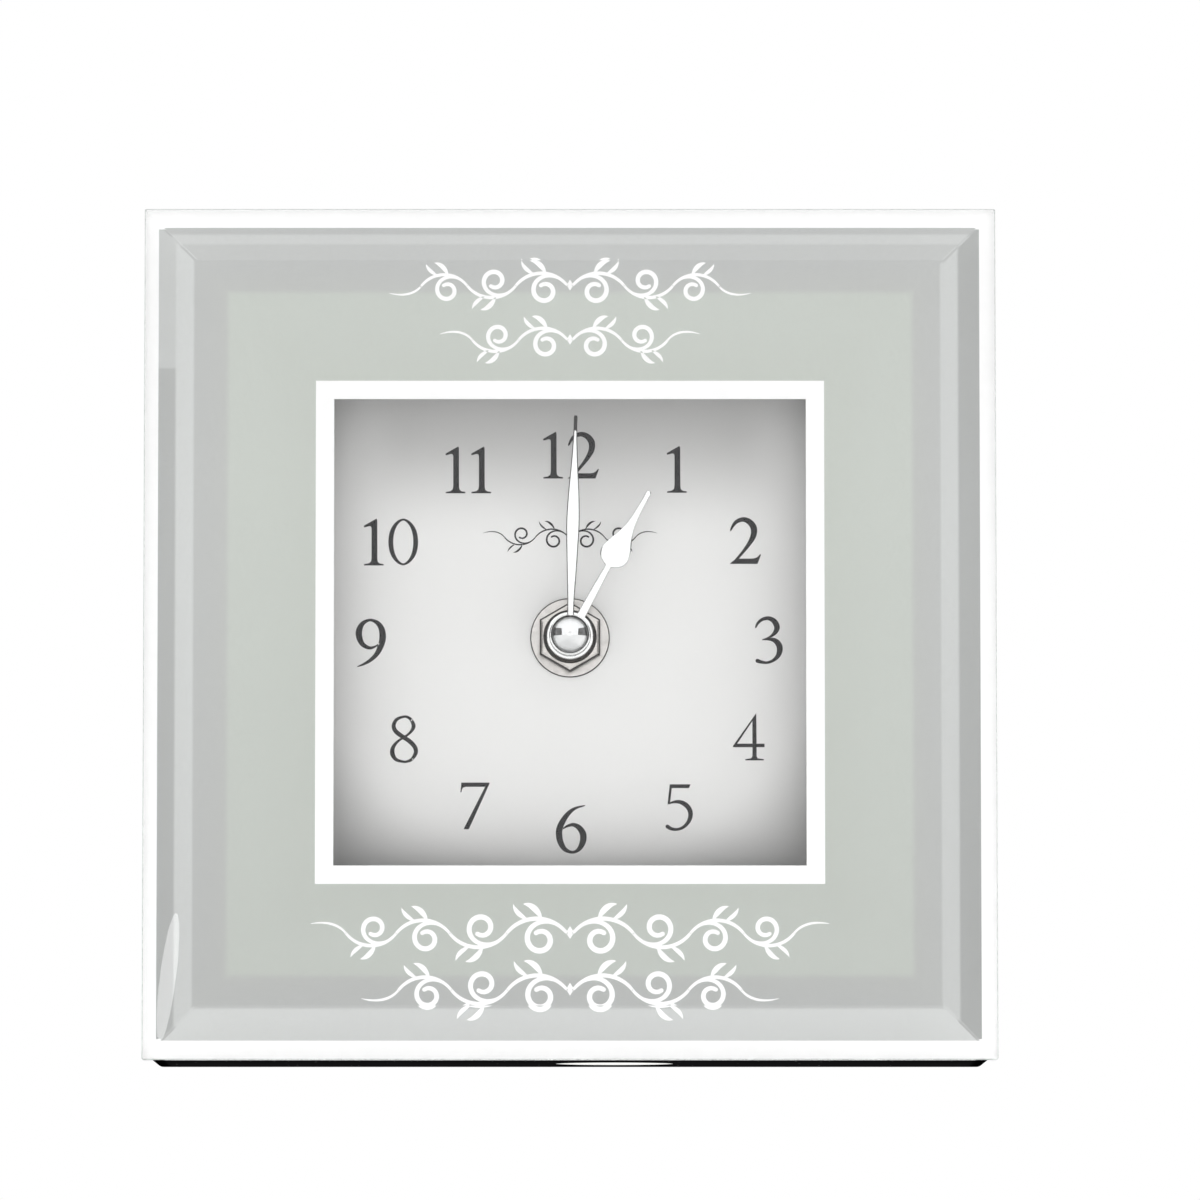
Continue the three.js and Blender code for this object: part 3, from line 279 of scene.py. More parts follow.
def cut_flat(loops: list[Loop], place: Vector, thickness: float = INK_THICKNESS,
             edge: float = 0) -> Piece:
    """Makes a flat piece that faces the front from its outlines.

    Args:
        loops: Closed outlines, holes among them, as distances to the right and up from the place.
        place: Where the outlines' own zero lies, at the middle of the thickness.
        thickness: How thick the piece is.
        edge: The rounding of its edges.

    Returns:
        The new object.
    """
    activate()
    bpy.ops.curve.primitive_bezier_curve_add()
    flat = bpy.context.object.data
    flat.splines.clear()
    flat.dimensions = "2D"
    flat.fill_mode = "BOTH"
    flat.extrude = thickness / 2 - edge
    flat.bevel_depth = edge
    flat.bevel_resolution = 1
    flat.offset = -edge
    for loop in loops:
        spline = flat.splines.new("POLY")
        spline.points.add(len(loop) - 1)
        for point, (x, z) in zip(spline.points, loop):
            point.co = (x, z, 0, 1)
        spline.use_cyclic_u = True
    bpy.ops.object.convert(target="MESH")
    made = bpy.context.object
    made.location = place
    made.rotation_euler = (math.pi / 2, 0, 0)
    weld(settle())
    return made


def merge_pieces(parts: list[Piece], fuse: bool) -> Piece:
    """Joins pieces of one finish to one object.

    Args:
        parts: The pieces.
        fuse: Whether overlapping parts become one closed surface.

    Returns:
        The joined object.
    """
    activate(*parts)
    bpy.ops.object.join()
    if fuse:
        bpy.ops.object.mode_set(mode="EDIT")
        bpy.ops.mesh.select_all(action="SELECT")
        bpy.ops.mesh.intersect_boolean(operation="UNION", use_self=True, solver="EXACT")
        bpy.ops.object.mode_set(mode="OBJECT")
    return parts[0]


def turn_about_hub(piece: Piece, clockwise: float) -> None:
    """Turns a piece about the hub's axis.

    Args:
        piece: The piece.
        clockwise: The angle, as seen from the front.
    """
    pick(piece, lambda *_: True)
    bpy.ops.transform.rotate(value=-clockwise, orient_axis="Y", center_override=HUB)
    bpy.ops.object.mode_set(mode="OBJECT")


def dress(node_names: str, finish: "Finish") -> None:
    """Gives carried-over solids their finish.

    Args:
        node_names: The solids' names, with spaces between them.
        finish: The finish.
    """
    for name in node_names.split():
        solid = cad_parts[name].data
        solid.materials.clear()
        solid.materials.append(finish.material())
        log.info("solid %s: %s", name, finish.name)


def place_piece(piece: Piece, name: str, body: str, finish: "Finish",
                stands_for: str = "") -> None:
    """Names a finished piece, dresses it and lets it ride on its body.

    Args:
        piece: The piece.
        name: Its name.
        body: The body that it moves with.
        finish: Its finish.
        stands_for: The solid that it replaces, if any.
    """
    activate()
    piece.name = piece.data.name = name
    piece.data.materials.clear()
    piece.data.materials.append(finish.material())
    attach(piece, body)
    if stands_for:
        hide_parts(stands_for)
    log.info("piece %s on %s: %s", name, body, finish.name)


def dress_faces(piece: Piece, finish: "Finish", test: Callable[[bpy.types.MeshPolygon], bool]) -> None:
    """Gives some of a piece's faces a finish of their own.

    Args:
        piece: The piece.
        finish: Those faces' finish.
        test: Says whether a face takes it.
    """
    piece.data.materials.append(finish.material())
    for face in piece.data.polygons:
        face.material_index = int(test(face))


def is_edge(face: bpy.types.MeshPolygon) -> bool:
    """Whether a face of a flat piece belongs to its edge."""
    return abs(face.normal.y) < 0.8


# Finishes

def grain(tree: Tree, size: float, stretch: Triple = (1, 1, 1)) -> Node:
    """Noise of a real grain size on the object's own coordinates.

    Args:
        tree: The material's node tree.
        size: How wide a grain is.
        stretch: Finer than one along an axis across which the grains are drawn out.

    Returns:
        The noise.
    """
    place = add_node(tree, "TexCoord", {}).outputs["Object"]
    mapped = add_node(tree, "Mapping", {"Vector": place, "Scale": stretch})
    return add_node(tree, "TexNoise", {"Vector": mapped, "Scale": 1 / size, "Detail": 3.0})


def relief(tree: Tree, size: float, depth: float, strength: float, stretch: Triple = (1, 1, 1)) -> Node:
    """Bumps of a real grain size and depth.

    Args:
        tree: The material's node tree.
        size: How wide a grain is.
        depth: How deep it is.
        strength: The share of the depth that shows.
        stretch: As for the grain.

    Returns:
        The bumps.
    """
    return add_node(tree, "Bump", {"Height": grain(tree, size, stretch), "Distance": depth,
                                   "Strength": strength})


def set_stops(ramp: Node, stops: tuple[tuple[float, str], ...]) -> None:
    """Gives a colour ramp its colours.

    Args:
        ramp: The colour ramp.
        stops: Places on it, from zero to one, and their hex colours.
    """
    elements = ramp.color_ramp.elements
    while len(elements) < len(stops):
        elements.new(1.0)
    for element, (position, shade) in zip(elements, stops):
        element.position = position
        element.color = linear(shade)


def mottled(tree: Tree, first: str, second: str, size: float, stretch: Triple = (1, 1, 1)) -> Node:
    """Colour that drifts between two shades.

    Args:
        tree: The material's node tree.
        first: One shade's hex colour.
        second: The other's.
        size: How wide a patch is.
        stretch: As for the grain.

    Returns:
        The colour ramp.
    """
    ramp = add_node(tree, "ValToRGB", {"Fac": grain(tree, size, stretch)})
    set_stops(ramp, ((0.35, first), (0.65, second)))
    return ramp


def place_on_face(tree: Tree) -> Node:
    """A point's place on the clock's face, counted from the face's middle."""
    place = add_node(tree, "TexCoord", {}).outputs["Object"]
    return add_node(tree, "Mapping", {"Vector": place, "Location": -HALF_FACE * UP, "Scale": (1, 0, 1)})


class Finish:
    """A surface finish, whose material is made once and shared."""

    name: str

    def material(self) -> bpy.types.Material:
        """Returns the finish's material."""
        known = bpy.data.materials.get(self.name)
        if known:
            return known
        made = bpy.data.materials.new(self.name)
        made.use_nodes = True
        made.node_tree.nodes.clear()
        add_node(made.node_tree, "OutputMaterial", {"Surface": self.shade(made.node_tree)})
        return made

    def shade(self, tree: Tree) -> Node:
        """Builds the finish's nodes and returns the shader."""
        raise NotImplementedError


@dataclass(frozen=True)
class FloatGlass(Finish):
    """Clear float glass, cut and polished: it hardly tints what lies behind it, and mirrors a little."""

    name: str = "bevelled_float_glass"
    tint: str = "fefefe"
    refraction: float = 1.52

    def shade(self, tree: Tree) -> Node:
        """Glass that lets the light through to the print behind it."""
        glass = add_node(tree, "BsdfPrincipled", {
            "Base Color": linear(self.tint), "Roughness": 0.0, "IOR": self.refraction,
            "Transmission Weight": 1.0})
        clear = add_node(tree, "BsdfTransparent", {"Color": linear(self.tint)})
        shadow = add_node(tree, "LightPath", {}).outputs["Is Shadow Ray"]
        return add_node(tree, "MixShader", {0: shadow, 1: glass, 2: clear})


class Side(Enum):
    """A side of the square face: its axis and the sign of its direction."""

    LEFT = ("X", -1)
    RIGHT = ("X", 1)
    BOTTOM = ("Z", -1)
    TOP = ("Z", 1)


@dataclass(frozen=True)
class PaintedBevelLight:
    """Painted shade and highlight on one side of the print, standing for the bevel's reflections: the outer
    band's and the inner band's, with lengths in millimetres.
    """

    side: Side
    outer_end: float
    outer_gain: float
    inner_end: float
    inner_gain: float
    # The outer band's gain high up, where a painted reflection lightens it
    upper_painted_light: float | None = None


@dataclass(frozen=True)
class BackPrint(Finish):
    """Screen-printed film: a soft grey-green field with a neutral grey rim, with painted shade and
    highlight bands for the bevel's reflections, and painted shade darker towards the bottom.
    """

    name: str = "screen_print_with_painted_light"
    blur: float = 0.35 * MM
    # Distance from the edge of the glass in millimetres, and the shade there
    field: tuple[tuple[float, str], ...] = (
        (10, "b7b9b8"), (15.2, "b9bbb9"), (16.2, "c2c7c1"), (22, "c2c7c1"), (40, "bdc2bb"))
    # Painted shade and highlight bands, one for each side, standing for the bevel's reflections
    painted_bevel_bands: tuple[PaintedBevelLight, ...] = (
        PaintedBevelLight(Side.LEFT, 6.2, 0.9, 9.7, 1.28, 1.13), PaintedBevelLight(Side.RIGHT, 7.4, 0.84, 10.4, 1.22),
        PaintedBevelLight(Side.BOTTOM, 2.5, 1.0, 10.0, 1.33), PaintedBevelLight(Side.TOP, 5.0, 0.93, 6.9, 1.15))
    fleck: float = 0.35 * MM
    fleck_gain: tuple[float, float] = (0.965, 1.035)
    # Painted shade, darker towards the bottom: height from the middle and gain, below which and above which
    # it no longer changes
    painted_fall: tuple[tuple[float, float], tuple[float, float]] = ((-55 * MM, 0.9), (25 * MM, 1.01))
    # Height above the middle where the left side's painted reflection begins
    upper_light_start: float = 50 * MM

    def shade(self, tree: Tree) -> Node:
        """The field's shades by the distance from the nearest edge, times that side's painted bevel bands
        and the painted shade by height.
        """
        parts = add_node(tree, "SeparateXYZ", {"Vector": place_on_face(tree)})
        height = parts.outputs["Z"]
        reaches = {}
        for band in self.painted_bevel_bands:
            axis, sign = band.side.value
            reaches[band] = add_node(tree, "Math", {
                "operation": "MULTIPLY", 0: parts.outputs[axis], 1: sign})
        across, *others = reaches.values()
        for other in others:
            across = add_node(tree, "Math", {"operation": "MAXIMUM", 0: across, 1: other})
        inwards = add_node(tree, "Math", {"operation": "MULTIPLY_ADD", 0: across, 1: -1 / HALF_FACE, 2: 1})
        shades = add_node(tree, "ValToRGB", {"Fac": inwards})
        set_stops(shades, tuple((at * MM / HALF_FACE, shade) for at, shade in self.field))
        darkest, lightest = self.fleck_gain
        fleck = add_node(tree, "MapRange", {
            "Value": grain(tree, self.fleck), "From Min": 0.3, "From Max": 0.7,
            "To Min": darkest, "To Max": lightest})
        # Painted shade: the field darker towards the bottom
        (low, low_gain), (high, high_gain) = self.painted_fall
        painted_fall = add_node(tree, "MapRange", {
            "Value": height, "From Min": low, "From Max": high, "To Min": low_gain, "To Max": high_gain})
        level = add_node(tree, "Math", {"operation": "MULTIPLY", 0: fleck, 1: painted_fall})
        # Each side's painted bevel shade and highlight counts where that side is the nearest
        for band, reach in reaches.items():
            gain = self.painted_bevel_gain(tree, band, reach, height)
            nearest = add_node(tree, "Math", {"operation": "COMPARE", 0: reach, 1: across, 2: 0.01 * MM})
            kept = add_node(tree, "Mix", {"data_type": "FLOAT", 0: nearest, 2: 1.0, 3: gain})
            level = add_node(tree, "Math", {"operation": "MULTIPLY", 0: level, 1: kept})
        shaded = add_node(tree, "VectorMath", {"operation": "SCALE", 0: shades, "Scale": level})
        return add_node(tree, "BsdfPrincipled", {"Base Color": shaded, "Roughness": 0.55})

    def painted_bevel_gain(self, tree: Tree, band: PaintedBevelLight, reach: Node, height: bpy.types.NodeSocket) -> Node:
        """One side's painted bevel shade and highlight: the outer band's gain, then the inner band's, then
        none.

        Args:
            tree: The material's node tree.
            band: The side's bands.
            reach: How far a place lies from the middle towards the side.
            height: How high it lies above the middle.

        Returns:
            The gain.
        """
        gain, outer = 1.0, band.outer_gain
        if band.upper_painted_light:
            outer = add_node(tree, "MapRange", {
                "interpolation_type": "SMOOTHSTEP", "Value": height,
                "From Min": self.upper_light_start - self.blur, "From Max": self.upper_light_start + self.blur,
                "To Min": outer, "To Max": band.upper_painted_light})
        for end, level in ((band.inner_end, band.inner_gain), (band.outer_end, outer)):
            edge = HALF_FACE - end * MM
            gain = add_node(tree, "MapRange", {
                "interpolation_type": "SMOOTHSTEP", "Value": reach, "From Min": edge - self.blur,
                "From Max": edge + self.blur, "To Min": gain, "To Max": level})
        return gain


@dataclass(frozen=True)
class PlainFinish(Finish):
    """A finish of two close shades with a fine relief, whose numbers say what the surface is."""

    name: str
    first: str
    second: str
    patch: float
    roughness: float
    metallic: float = 0.0
    grit: float = 0.1 * MM
    depth: float = 0.01 * MM
    strength: float = 0.3
    stretch: Triple = (1, 1, 1)
    coat: float = 0.0
    specular: float = 0.5

    def shade(self, tree: Tree) -> Node:
        """Two shades, a roughness that wanders a little, and a relief of the surface's grit."""
        wander = add_node(tree, "MapRange", {
            "Value": grain(tree, self.patch, self.stretch),
            "To Min": self.roughness * 0.85, "To Max": self.roughness * 1.15})
        return add_node(tree, "BsdfPrincipled", {
            "Base Color": mottled(tree, self.first, self.second, self.patch, self.stretch),
            "Roughness": wander, "Metallic": self.metallic, "Coat Weight": self.coat,
            "Specular IOR Level": self.specular,
            "Normal": relief(tree, self.grit, self.depth, self.strength, self.stretch)})


# Seamed edge of the glass: ground by a belt, so it is a matte grey that lets no clear view through
GLASS_EDGE = PlainFinish("seamed_glass_edge", "a9adab", "c2c6c4", 0.6 * MM, 0.6, strength=0.4)
# White screen ink: dense and even, a little softer than the film
WHITE_INK = PlainFinish("white_screen_ink", "fbfbfb", "fefefe", 2 * MM, 0.5, depth=0.004 * MM)
# Dark grey screen ink of the numbers: it sinks into the card, so it is dead matte
DARK_INK = PlainFinish("dark_screen_ink", "121013", "19171a", 0.4 * MM, 0.8, depth=0.004 * MM,
                       specular=0.15)
# Chrome plate on brass: a clean mirror
CHROME = PlainFinish("chrome_plate", "e8e9ea", "dfe1e2", 4 * MM, 0.05, 1.0,
                     grit=0.5 * MM, depth=0.0005 * MM, strength=0.1)
# Nickel plate over a milled face: fine strokes that run one way
MILLED_NICKEL = PlainFinish("milled_nickel", "e6e3df", "c6c2be", 0.5 * MM, 0.3, 1.0,
                            grit=0.12 * MM, depth=0.004 * MM, strength=0.5, stretch=(1, 1, 6))
# Stamped steel sheet, nickel plated: softer, with a slight cloud
STAMPED_STEEL = PlainFinish("stamped_steel", "dddad7", "cac7c4", 1.5 * MM, 0.3, 1.0,
                            grit=0.2 * MM, depth=0.003 * MM)
# Turned brass: warm, with the fine rings of the tool
TURNED_BRASS = PlainFinish("turned_brass", "c9a352", "b8903f", 0.8 * MM, 0.28, 1.0,
                           grit=0.15 * MM, depth=0.003 * MM, stretch=(1, 6, 1))
# Copper wire with clear enamel: warm and glossy, with the wires' lines across the coil
ENAMELLED_WIRE = PlainFinish("enamelled_copper_wire", "b9693c", "9a4f28", 0.3 * MM, 0.3, 1.0,
                             grit=0.25 * MM, depth=0.03 * MM, strength=0.8, stretch=(0.1, 0.1, 1),
                             coat=0.5)
# Raw fibreboard: warm brown, matte, with short fibres
FIBREBOARD = PlainFinish("raw_fibreboard", "9a8464", "826c4e", 1.2 * MM, 0.9,
                         grit=0.3 * MM, depth=0.05 * MM, strength=0.5)
# Black backing coat of the print and of the boards round the recess: dull and a little dusty
BLACK_BACKING = PlainFinish("black_backing_coat", "191818", "232120", 1.2 * MM, 0.85,
                            grit=0.3 * MM, depth=0.03 * MM)
# Cut edge of stamped metal, which has no plate on it: dull, and painted darker still as painted shade and
# reflection for the shadow gaps and dark reflections along the edges
UNPLATED_EDGE_PAINTED_DARK = PlainFinish("unplated_edge_painted_dark", "464442", "383634", 0.4 * MM, 0.45, 1.0, depth=0.004 * MM)
# White label stock: smooth paper with a faint tooth
LABEL_PAPER = PlainFinish("label_paper", "f4f4f0", "ececea", 1.0 * MM, 0.7, grit=0.15 * MM)
# Moulded black ABS: fine spark-eroded grain, a dull shine
BLACK_ABS = PlainFinish("moulded_black_abs", "1d1e20", "232427", 3 * MM, 0.45,
                        grit=0.25 * MM, depth=0.012 * MM, strength=0.45)
# Polished black ABS of a turned or pressed detail
SMOOTH_ABS = PlainFinish("smooth_black_abs", "1a1b1d", "202123", 2 * MM, 0.3,
                         grit=0.4 * MM, depth=0.004 * MM)
# Natural acetal: milky white and waxy
WHITE_ACETAL = PlainFinish("natural_acetal", "ebeae2", "e0dfd6", 1.5 * MM, 0.35,
                           grit=0.2 * MM, depth=0.003 * MM, coat=0.1)
# Red acetal, as gear makers use to tell wheels apart
RED_ACETAL = PlainFinish("red_acetal", "b8352e", "a52b26", 1.5 * MM, 0.35,
                         grit=0.2 * MM, depth=0.003 * MM, coat=0.1)
# Green solder mask: glossy resin over woven glass
SOLDER_MASK = PlainFinish("green_solder_mask", "2e6a44", "275c3b", 0.8 * MM, 0.3, grit=0.4 * MM, coat=0.4)
# Sintered magnet: dark, dull and slightly pitted
SINTERED_MAGNET = PlainFinish("sintered_magnet", "4a4b4e", "3c3d40", 0.3 * MM, 0.5, 0.8, strength=0.6)
# Black rubber: matte, with a powdery cloud
BLACK_RUBBER = PlainFinish("black_rubber", "19191b", "232325", 1.5 * MM, 0.85, grit=0.2 * MM)


@dataclass(frozen=True)
class HandMetal(Finish):
    """Polished aluminium, nearly a mirror, with its tip beyond a radius painted dark as a painted
    reflection.
    """

    name: str = "polished_hand_aluminium"
    tip_start: float = 1.0
    metal: str = "f2f3f3"
    painted_dark_tip: str = "232122"

    def shade(self, tree: Tree) -> Node:
        """Metal inside the radius and the painted dark reflection beyond it."""
        radius = add_node(tree, "VectorMath", {"operation": "LENGTH", 0: place_on_face(tree)})
        beyond = add_node(tree, "Math", {
            "operation": "GREATER_THAN", 0: radius.outputs["Value"], 1: self.tip_start})
        metal = add_node(tree, "BsdfPrincipled", {
            "Base Color": linear(self.metal), "Metallic": 1.0, "Roughness": 0.12,
            "Normal": relief(tree, 0.3 * MM, 0.001 * MM, 0.1)})
        # The dark tip is a painted reflection of dark surroundings
        painted_dark_tip = add_node(tree, "BsdfPrincipled", {"Base Color": linear(self.painted_dark_tip), "Roughness": 0.35})
        return add_node(tree, "MixShader", {0: beyond, 1: metal, 2: painted_dark_tip})


@dataclass(frozen=True)
class DialCard(Finish):
    """Matte dial card, with painted shade along its top and towards its lower corners, where the recess
    would shade it.
    """

    name: str = "dial_card_with_painted_shade"
    paper: str = "efefee"
    # Where each painted shade or its easing begins and is full, and how deep it is
    painted_top_shade: Triple = (18 * MM, 40 * MM, 0.38)
    top_shade_easing: Triple = (30 * MM, 44 * MM, 0.6)
    painted_corner_shade: Triple = (48 * MM, 66 * MM, 0.34)
    corner_rise: float = 8 * MM
    tooth: float = 0.25 * MM

    def shade(self, tree: Tree) -> Node:
        """White in the middle, with the painted shade by height and by distance."""
        place = place_on_face(tree)
        parts = add_node(tree, "SeparateXYZ", {"Vector": place})
        sideways = add_node(tree, "Math", {"operation": "ABSOLUTE", 0: parts.outputs["X"]})
        lifted = add_node(tree, "VectorMath", {
            "operation": "SUBTRACT", 0: place, 1: self.corner_rise * UP})
        distance = add_node(tree, "VectorMath", {"operation": "LENGTH", 0: lifted}).outputs["Value"]
        # Painted shade: eased at the sides, along the top, and towards the lower corners
        middle, top, corner = (
            add_node(tree, "MapRange", {
                "interpolation_type": "SMOOTHSTEP", "Value": value, "From Min": start, "From Max": end,
                "To Min": 1.0, "To Max": 1 - depth})
            for value, (start, end, depth) in (
                (sideways, self.top_shade_easing), (parts.outputs["Z"], self.painted_top_shade),
                (distance, self.painted_corner_shade)))
        # The painted shade along the top is fainter at the sides, where the recess casts its own real shade
        lost = add_node(tree, "Math", {"operation": "SUBTRACT", 0: top, 1: 1.0})
        left = add_node(tree, "Math", {"operation": "MULTIPLY_ADD", 0: lost, 1: middle, 2: 1.0})
        level = add_node(tree, "Math", {"operation": "MULTIPLY", 0: left, 1: corner})
        shaded = add_node(tree, "VectorMath", {
            "operation": "SCALE", 0: linear(self.paper)[:3], "Scale": level})
        return add_node(tree, "BsdfPrincipled", {
            "Base Color": shaded, "Roughness": 0.8, "Normal": relief(tree, self.tooth, 0.01 * MM, 0.3)})


@dataclass(frozen=True)
class NylonFlock(Finish):
    """Black nylon flock: a deep nap that swallows light, with some pale lint."""

    name: str = "black_nylon_flock"
    nap: float = 0.3 * MM
    lay: float = 14 * MM
    # Bits of lint are drawn wider than a fibre, so that they show
    lint_spacing: float = 1.9 * MM
    lint_size: float = 0.1
    lint_share: float = 0.15
    waver: float = 0.35 * MM

    def shade(self, tree: Tree) -> Node:
        """The nap, lying this way and that, with bits of lint at the middles of a few spaced cells."""
        place = add_node(tree, "TexCoord", {}).outputs["Object"]
        wander = add_node(tree, "TexNoise", {"Vector": place, "Scale": 1 / self.waver})
        bent = add_node(tree, "VectorMath", {
            "operation": "MULTIPLY_ADD", 0: wander.outputs["Color"], 1: (self.waver,) * 3, 2: place})
        cells = add_node(tree, "TexVoronoi", {"Vector": bent, "Scale": 1 / self.lint_spacing})
        near = add_node(tree, "Math", {
            "operation": "LESS_THAN", 0: cells.outputs["Distance"], 1: self.lint_size})
        drawn = add_node(tree, "SeparateColor", {"Color": cells.outputs["Color"]})
        chosen = add_node(tree, "Math", {"operation": "GREATER_THAN", 0: drawn, 1: 1 - self.lint_share})
        lint = add_node(tree, "Math", {"operation": "MULTIPLY", 0: near, 1: chosen})
        fibre = add_node(tree, "Mix", {
            "data_type": "RGBA", 0: drawn.outputs[1], 6: linear("2b2b2a"), 7: linear("a5a5a2")})
        black = add_node(tree, "Mix", {
            "data_type": "RGBA", 0: grain(tree, self.lay), 6: mottled(tree, "060606", "0a0a0b", self.nap),
            7: mottled(tree, "0c0c0d", "171718", self.nap)})
        colour = add_node(tree, "Mix", {
            "data_type": "RGBA", 0: lint, 6: black.outputs[2], 7: fibre.outputs[2]})
        return add_node(tree, "BsdfPrincipled", {
            "Base Color": colour.outputs[2], "Roughness": 1.0, "Specular IOR Level": 0.0,
            "Sheen Weight": 0.002, "Sheen Roughness": 0.5,
            "Normal": relief(tree, self.nap, 0.15 * MM, 0.7)})


@dataclass(frozen=True)
class CellJacket(Finish):
    """The cell's printed sleeve: dark blue-grey with a silver band at its button end."""

    name: str = "printed_cell_jacket"
    band_start: float = 15 * MM
    jacket: str = "2f3b46"
    band: str = "b9bcbd"

    def shade(self, tree: Tree) -> Node:
        """Two colours along the cell, under a clear lacquer."""
        place = add_node(tree, "TexCoord", {}).outputs["Object"]
        along = add_node(tree, "SeparateXYZ", {"Vector": place})
        beyond = add_node(tree, "Math", {"operation": "GREATER_THAN", 0: along, 1: self.band_start})
        colour = add_node(tree, "Mix", {
            "data_type": "RGBA", 0: beyond, 6: linear(self.jacket), 7: linear(self.band)})
        return add_node(tree, "BsdfPrincipled", {
            "Base Color": colour.outputs[2], "Metallic": 0.6, "Roughness": 0.32, "Coat Weight": 0.6,
            "Normal": relief(tree, 0.6 * MM, 0.004 * MM, 0.3)})


FLOCK = NylonFlock()
HOUR_METAL = HandMetal()
# The minute hand's last few millimetres are painted dark, as a painted reflection
MINUTE_METAL = HandMetal("tipped_hand_aluminium", tip_start=38.6 * MM)


# Drawn strokes: numbers and ornaments

@dataclass(frozen=True)
class Stroke:
    """A pen stroke along a smooth line, with its own half-width at each knot."""

    knots: tuple[Knot, ...]
    closed: bool = False

    def spine(self, steps: int = 6) -> list[Knot]:
        """Points of the smooth line through the knots.

        Args:
            steps: How many pieces each stretch between two knots is drawn with.

        Returns:
            Place and half-width of each point.
        """
        first, *_, last = knots = self.knots
        around = [last, *knots, first, knots[1]] if self.closed else [first, *knots, last]
        line = []
        for corners in zip(around, around[1:], around[2:], around[3:]):
            for step in range(steps):
                t = step / steps
                line.append(tuple(
                    0.5 * (2 * b + (c - a) * t + (2 * a - 5 * b + 4 * c - d) * t * t
                           + (3 * b - a - 3 * c + d) * t ** 3)
                    for a, b, c, d in zip(*corners)))
        return line if self.closed else [*line, last]


def outline(line: list[Knot], scale: float, closed: bool = False) -> list[Loop]:
    """Offsets a line by its half-widths.

    Args:
        line: Place and half-width of each point.
        scale: The size of the line's own unit.
        closed: Whether the line returns to its start.

    Returns:
        One closed outline, or for a closed line the outer and the inner one.
    """
    left: Loop = []
    right: Loop = []
    count = len(line)
    for number, (x, z, half) in enumerate(line):
        before = line[number - 1] if closed or number else line[0]
        after = line[(number + 1) % count] if closed else line[min(number + 1, count - 1)]
        dx, dz = after[0] - before[0], after[1] - before[1]
        length = math.hypot(dx, dz)
        nx, nz = -dz / length * half, dx / length * half
        left.append(((x + nx) * scale, (z + nz) * scale))
        right.append(((x - nx) * scale, (z - nz) * scale))
    if closed:
        return [left, right]
    ends = (round_end(line[0], line[1], scale), round_end(line[-1], line[-2], scale))
    return [[*reversed(left), *reversed(ends[0]), *right, *ends[1]]]


def round_end(end: Knot, inner: Knot, scale: float) -> Loop:
    """The points round a stroke's end.

    Args:
        end: The end's place and half-width.
        inner: The point before it.
        scale: The size of the stroke's own unit.

    Returns:
        The points, from the stroke's right side to its left as seen from inside.
    """
    facing = math.atan2(end[1] - inner[1], end[0] - inner[0])
    half = end[2] * scale
    turns = [facing + math.radians(angle) for angle in (-60, -30, 0, 30, 60)]
    return [(end[0] * scale + half * math.cos(turn), end[1] * scale + half * math.sin(turn))
            for turn in turns]


@dataclass(frozen=True)
class Glyph:
    """A number's shape, in hundredths of its height: pen strokes and straight-sided parts."""

    strokes: tuple[Stroke, ...] = ()
    shapes: tuple[tuple[tuple[tuple[float, float], ...], ...], ...] = ()
    start: float = 0
    end: float = 60


ONE = Glyph(shapes=(((
    (4.3, 100), (5.8, 96), (6.1, 14), (7.2, 7.5), (11.5, 4.2), (19.5, 3), (19.5, 0), (-22, 0),
    (-22, 3), (-12.5, 4.4), (-7.6, 8), (-6.2, 15), (-6.2, 79), (-7.4, 83), (-11, 84), (-21.5, 81),
    (-23, 84.5)),),), start=-22, end=19.5)
TWO = Glyph(
    strokes=(Stroke((
        (2.1, 71.2, 1.7), (7.4, 81.8, 3.0), (15.4, 90.5, 4.0), (28.8, 94.7, 4.9), (41, 90.3, 6.0),
        (49.3, 81, 6.7), (51.8, 71, 6.7), (49.6, 58, 5.9), (41, 42.5, 4.4), (27, 23.9, 3.1),
        (11, 5.6, 2.6), (7, 2.6, 2.4))),),
    shapes=(((
        (0, 0), (8, 7), (14, 11.2), (49, 11.2), (56, 12.7), (60.5, 16), (64.3, 20.6), (66.6, 19.8),
        (59, 0)),),),
    end=66)
THREE = Glyph(strokes=(
    Stroke(((1.4, 76.8, 1.6), (6, 86, 2.8), (15.4, 94, 3.4), (28.8, 96.5, 4.2), (40.7, 90.2, 5.6),
            (46.7, 78.2, 6.0), (43.2, 67, 4.6), (34, 58.2, 2.6), (23.5, 53, 1.7), (15.8, 50.9, 1.2))),
    Stroke(((15.8, 50.9, 1.2), (28, 51.6, 2.3), (40, 50.2, 4.6), (49.5, 42, 6.1), (52.6, 29.8, 6.2),
            (48.4, 16.5, 4.8), (38.2, 6.7, 3.3), (25.3, 2.1, 2.8), (13.7, 3.3, 3.4), (5.2, 6, 4.4)))),
    end=58)
FOUR = Glyph(shapes=((
    ((49.5, 100.4), (50.2, 35.4), (67, 35.4), (67, 28), (50.2, 28), (50.2, 9), (52.5, 4.4),
     (65.3, 2.6), (65.3, 0), (26.3, 0), (26.3, 2.6), (38.6, 4.4), (41.4, 9), (41.4, 28), (0.5, 28),
     (0, 30.5)),
    ((41.4, 83.5), (9.1, 35.4), (41.4, 35.4))),), end=67)
FIVE = Glyph(
    strokes=(Stroke((
        (8.4, 56.2, 1.5), (16.5, 59.3, 2.4), (29.5, 60.4, 3.9), (42.8, 55.1, 4.9), (51.9, 44.6, 5.0),
        (54.4, 31.9, 4.8), (49.8, 17.9, 4.0), (39.3, 6.7, 3.2), (26.3, 1.8, 2.9), (13.7, 3.2, 3.6),
        (5.3, 8.1, 4.0))),),
    shapes=(((
        (10.5, 97.5), (5.6, 54.4), (8, 55.2), (11.2, 58.8), (14.7, 89.5), (51.2, 89.5),
        (54.4, 97.5)),),),
    end=59)
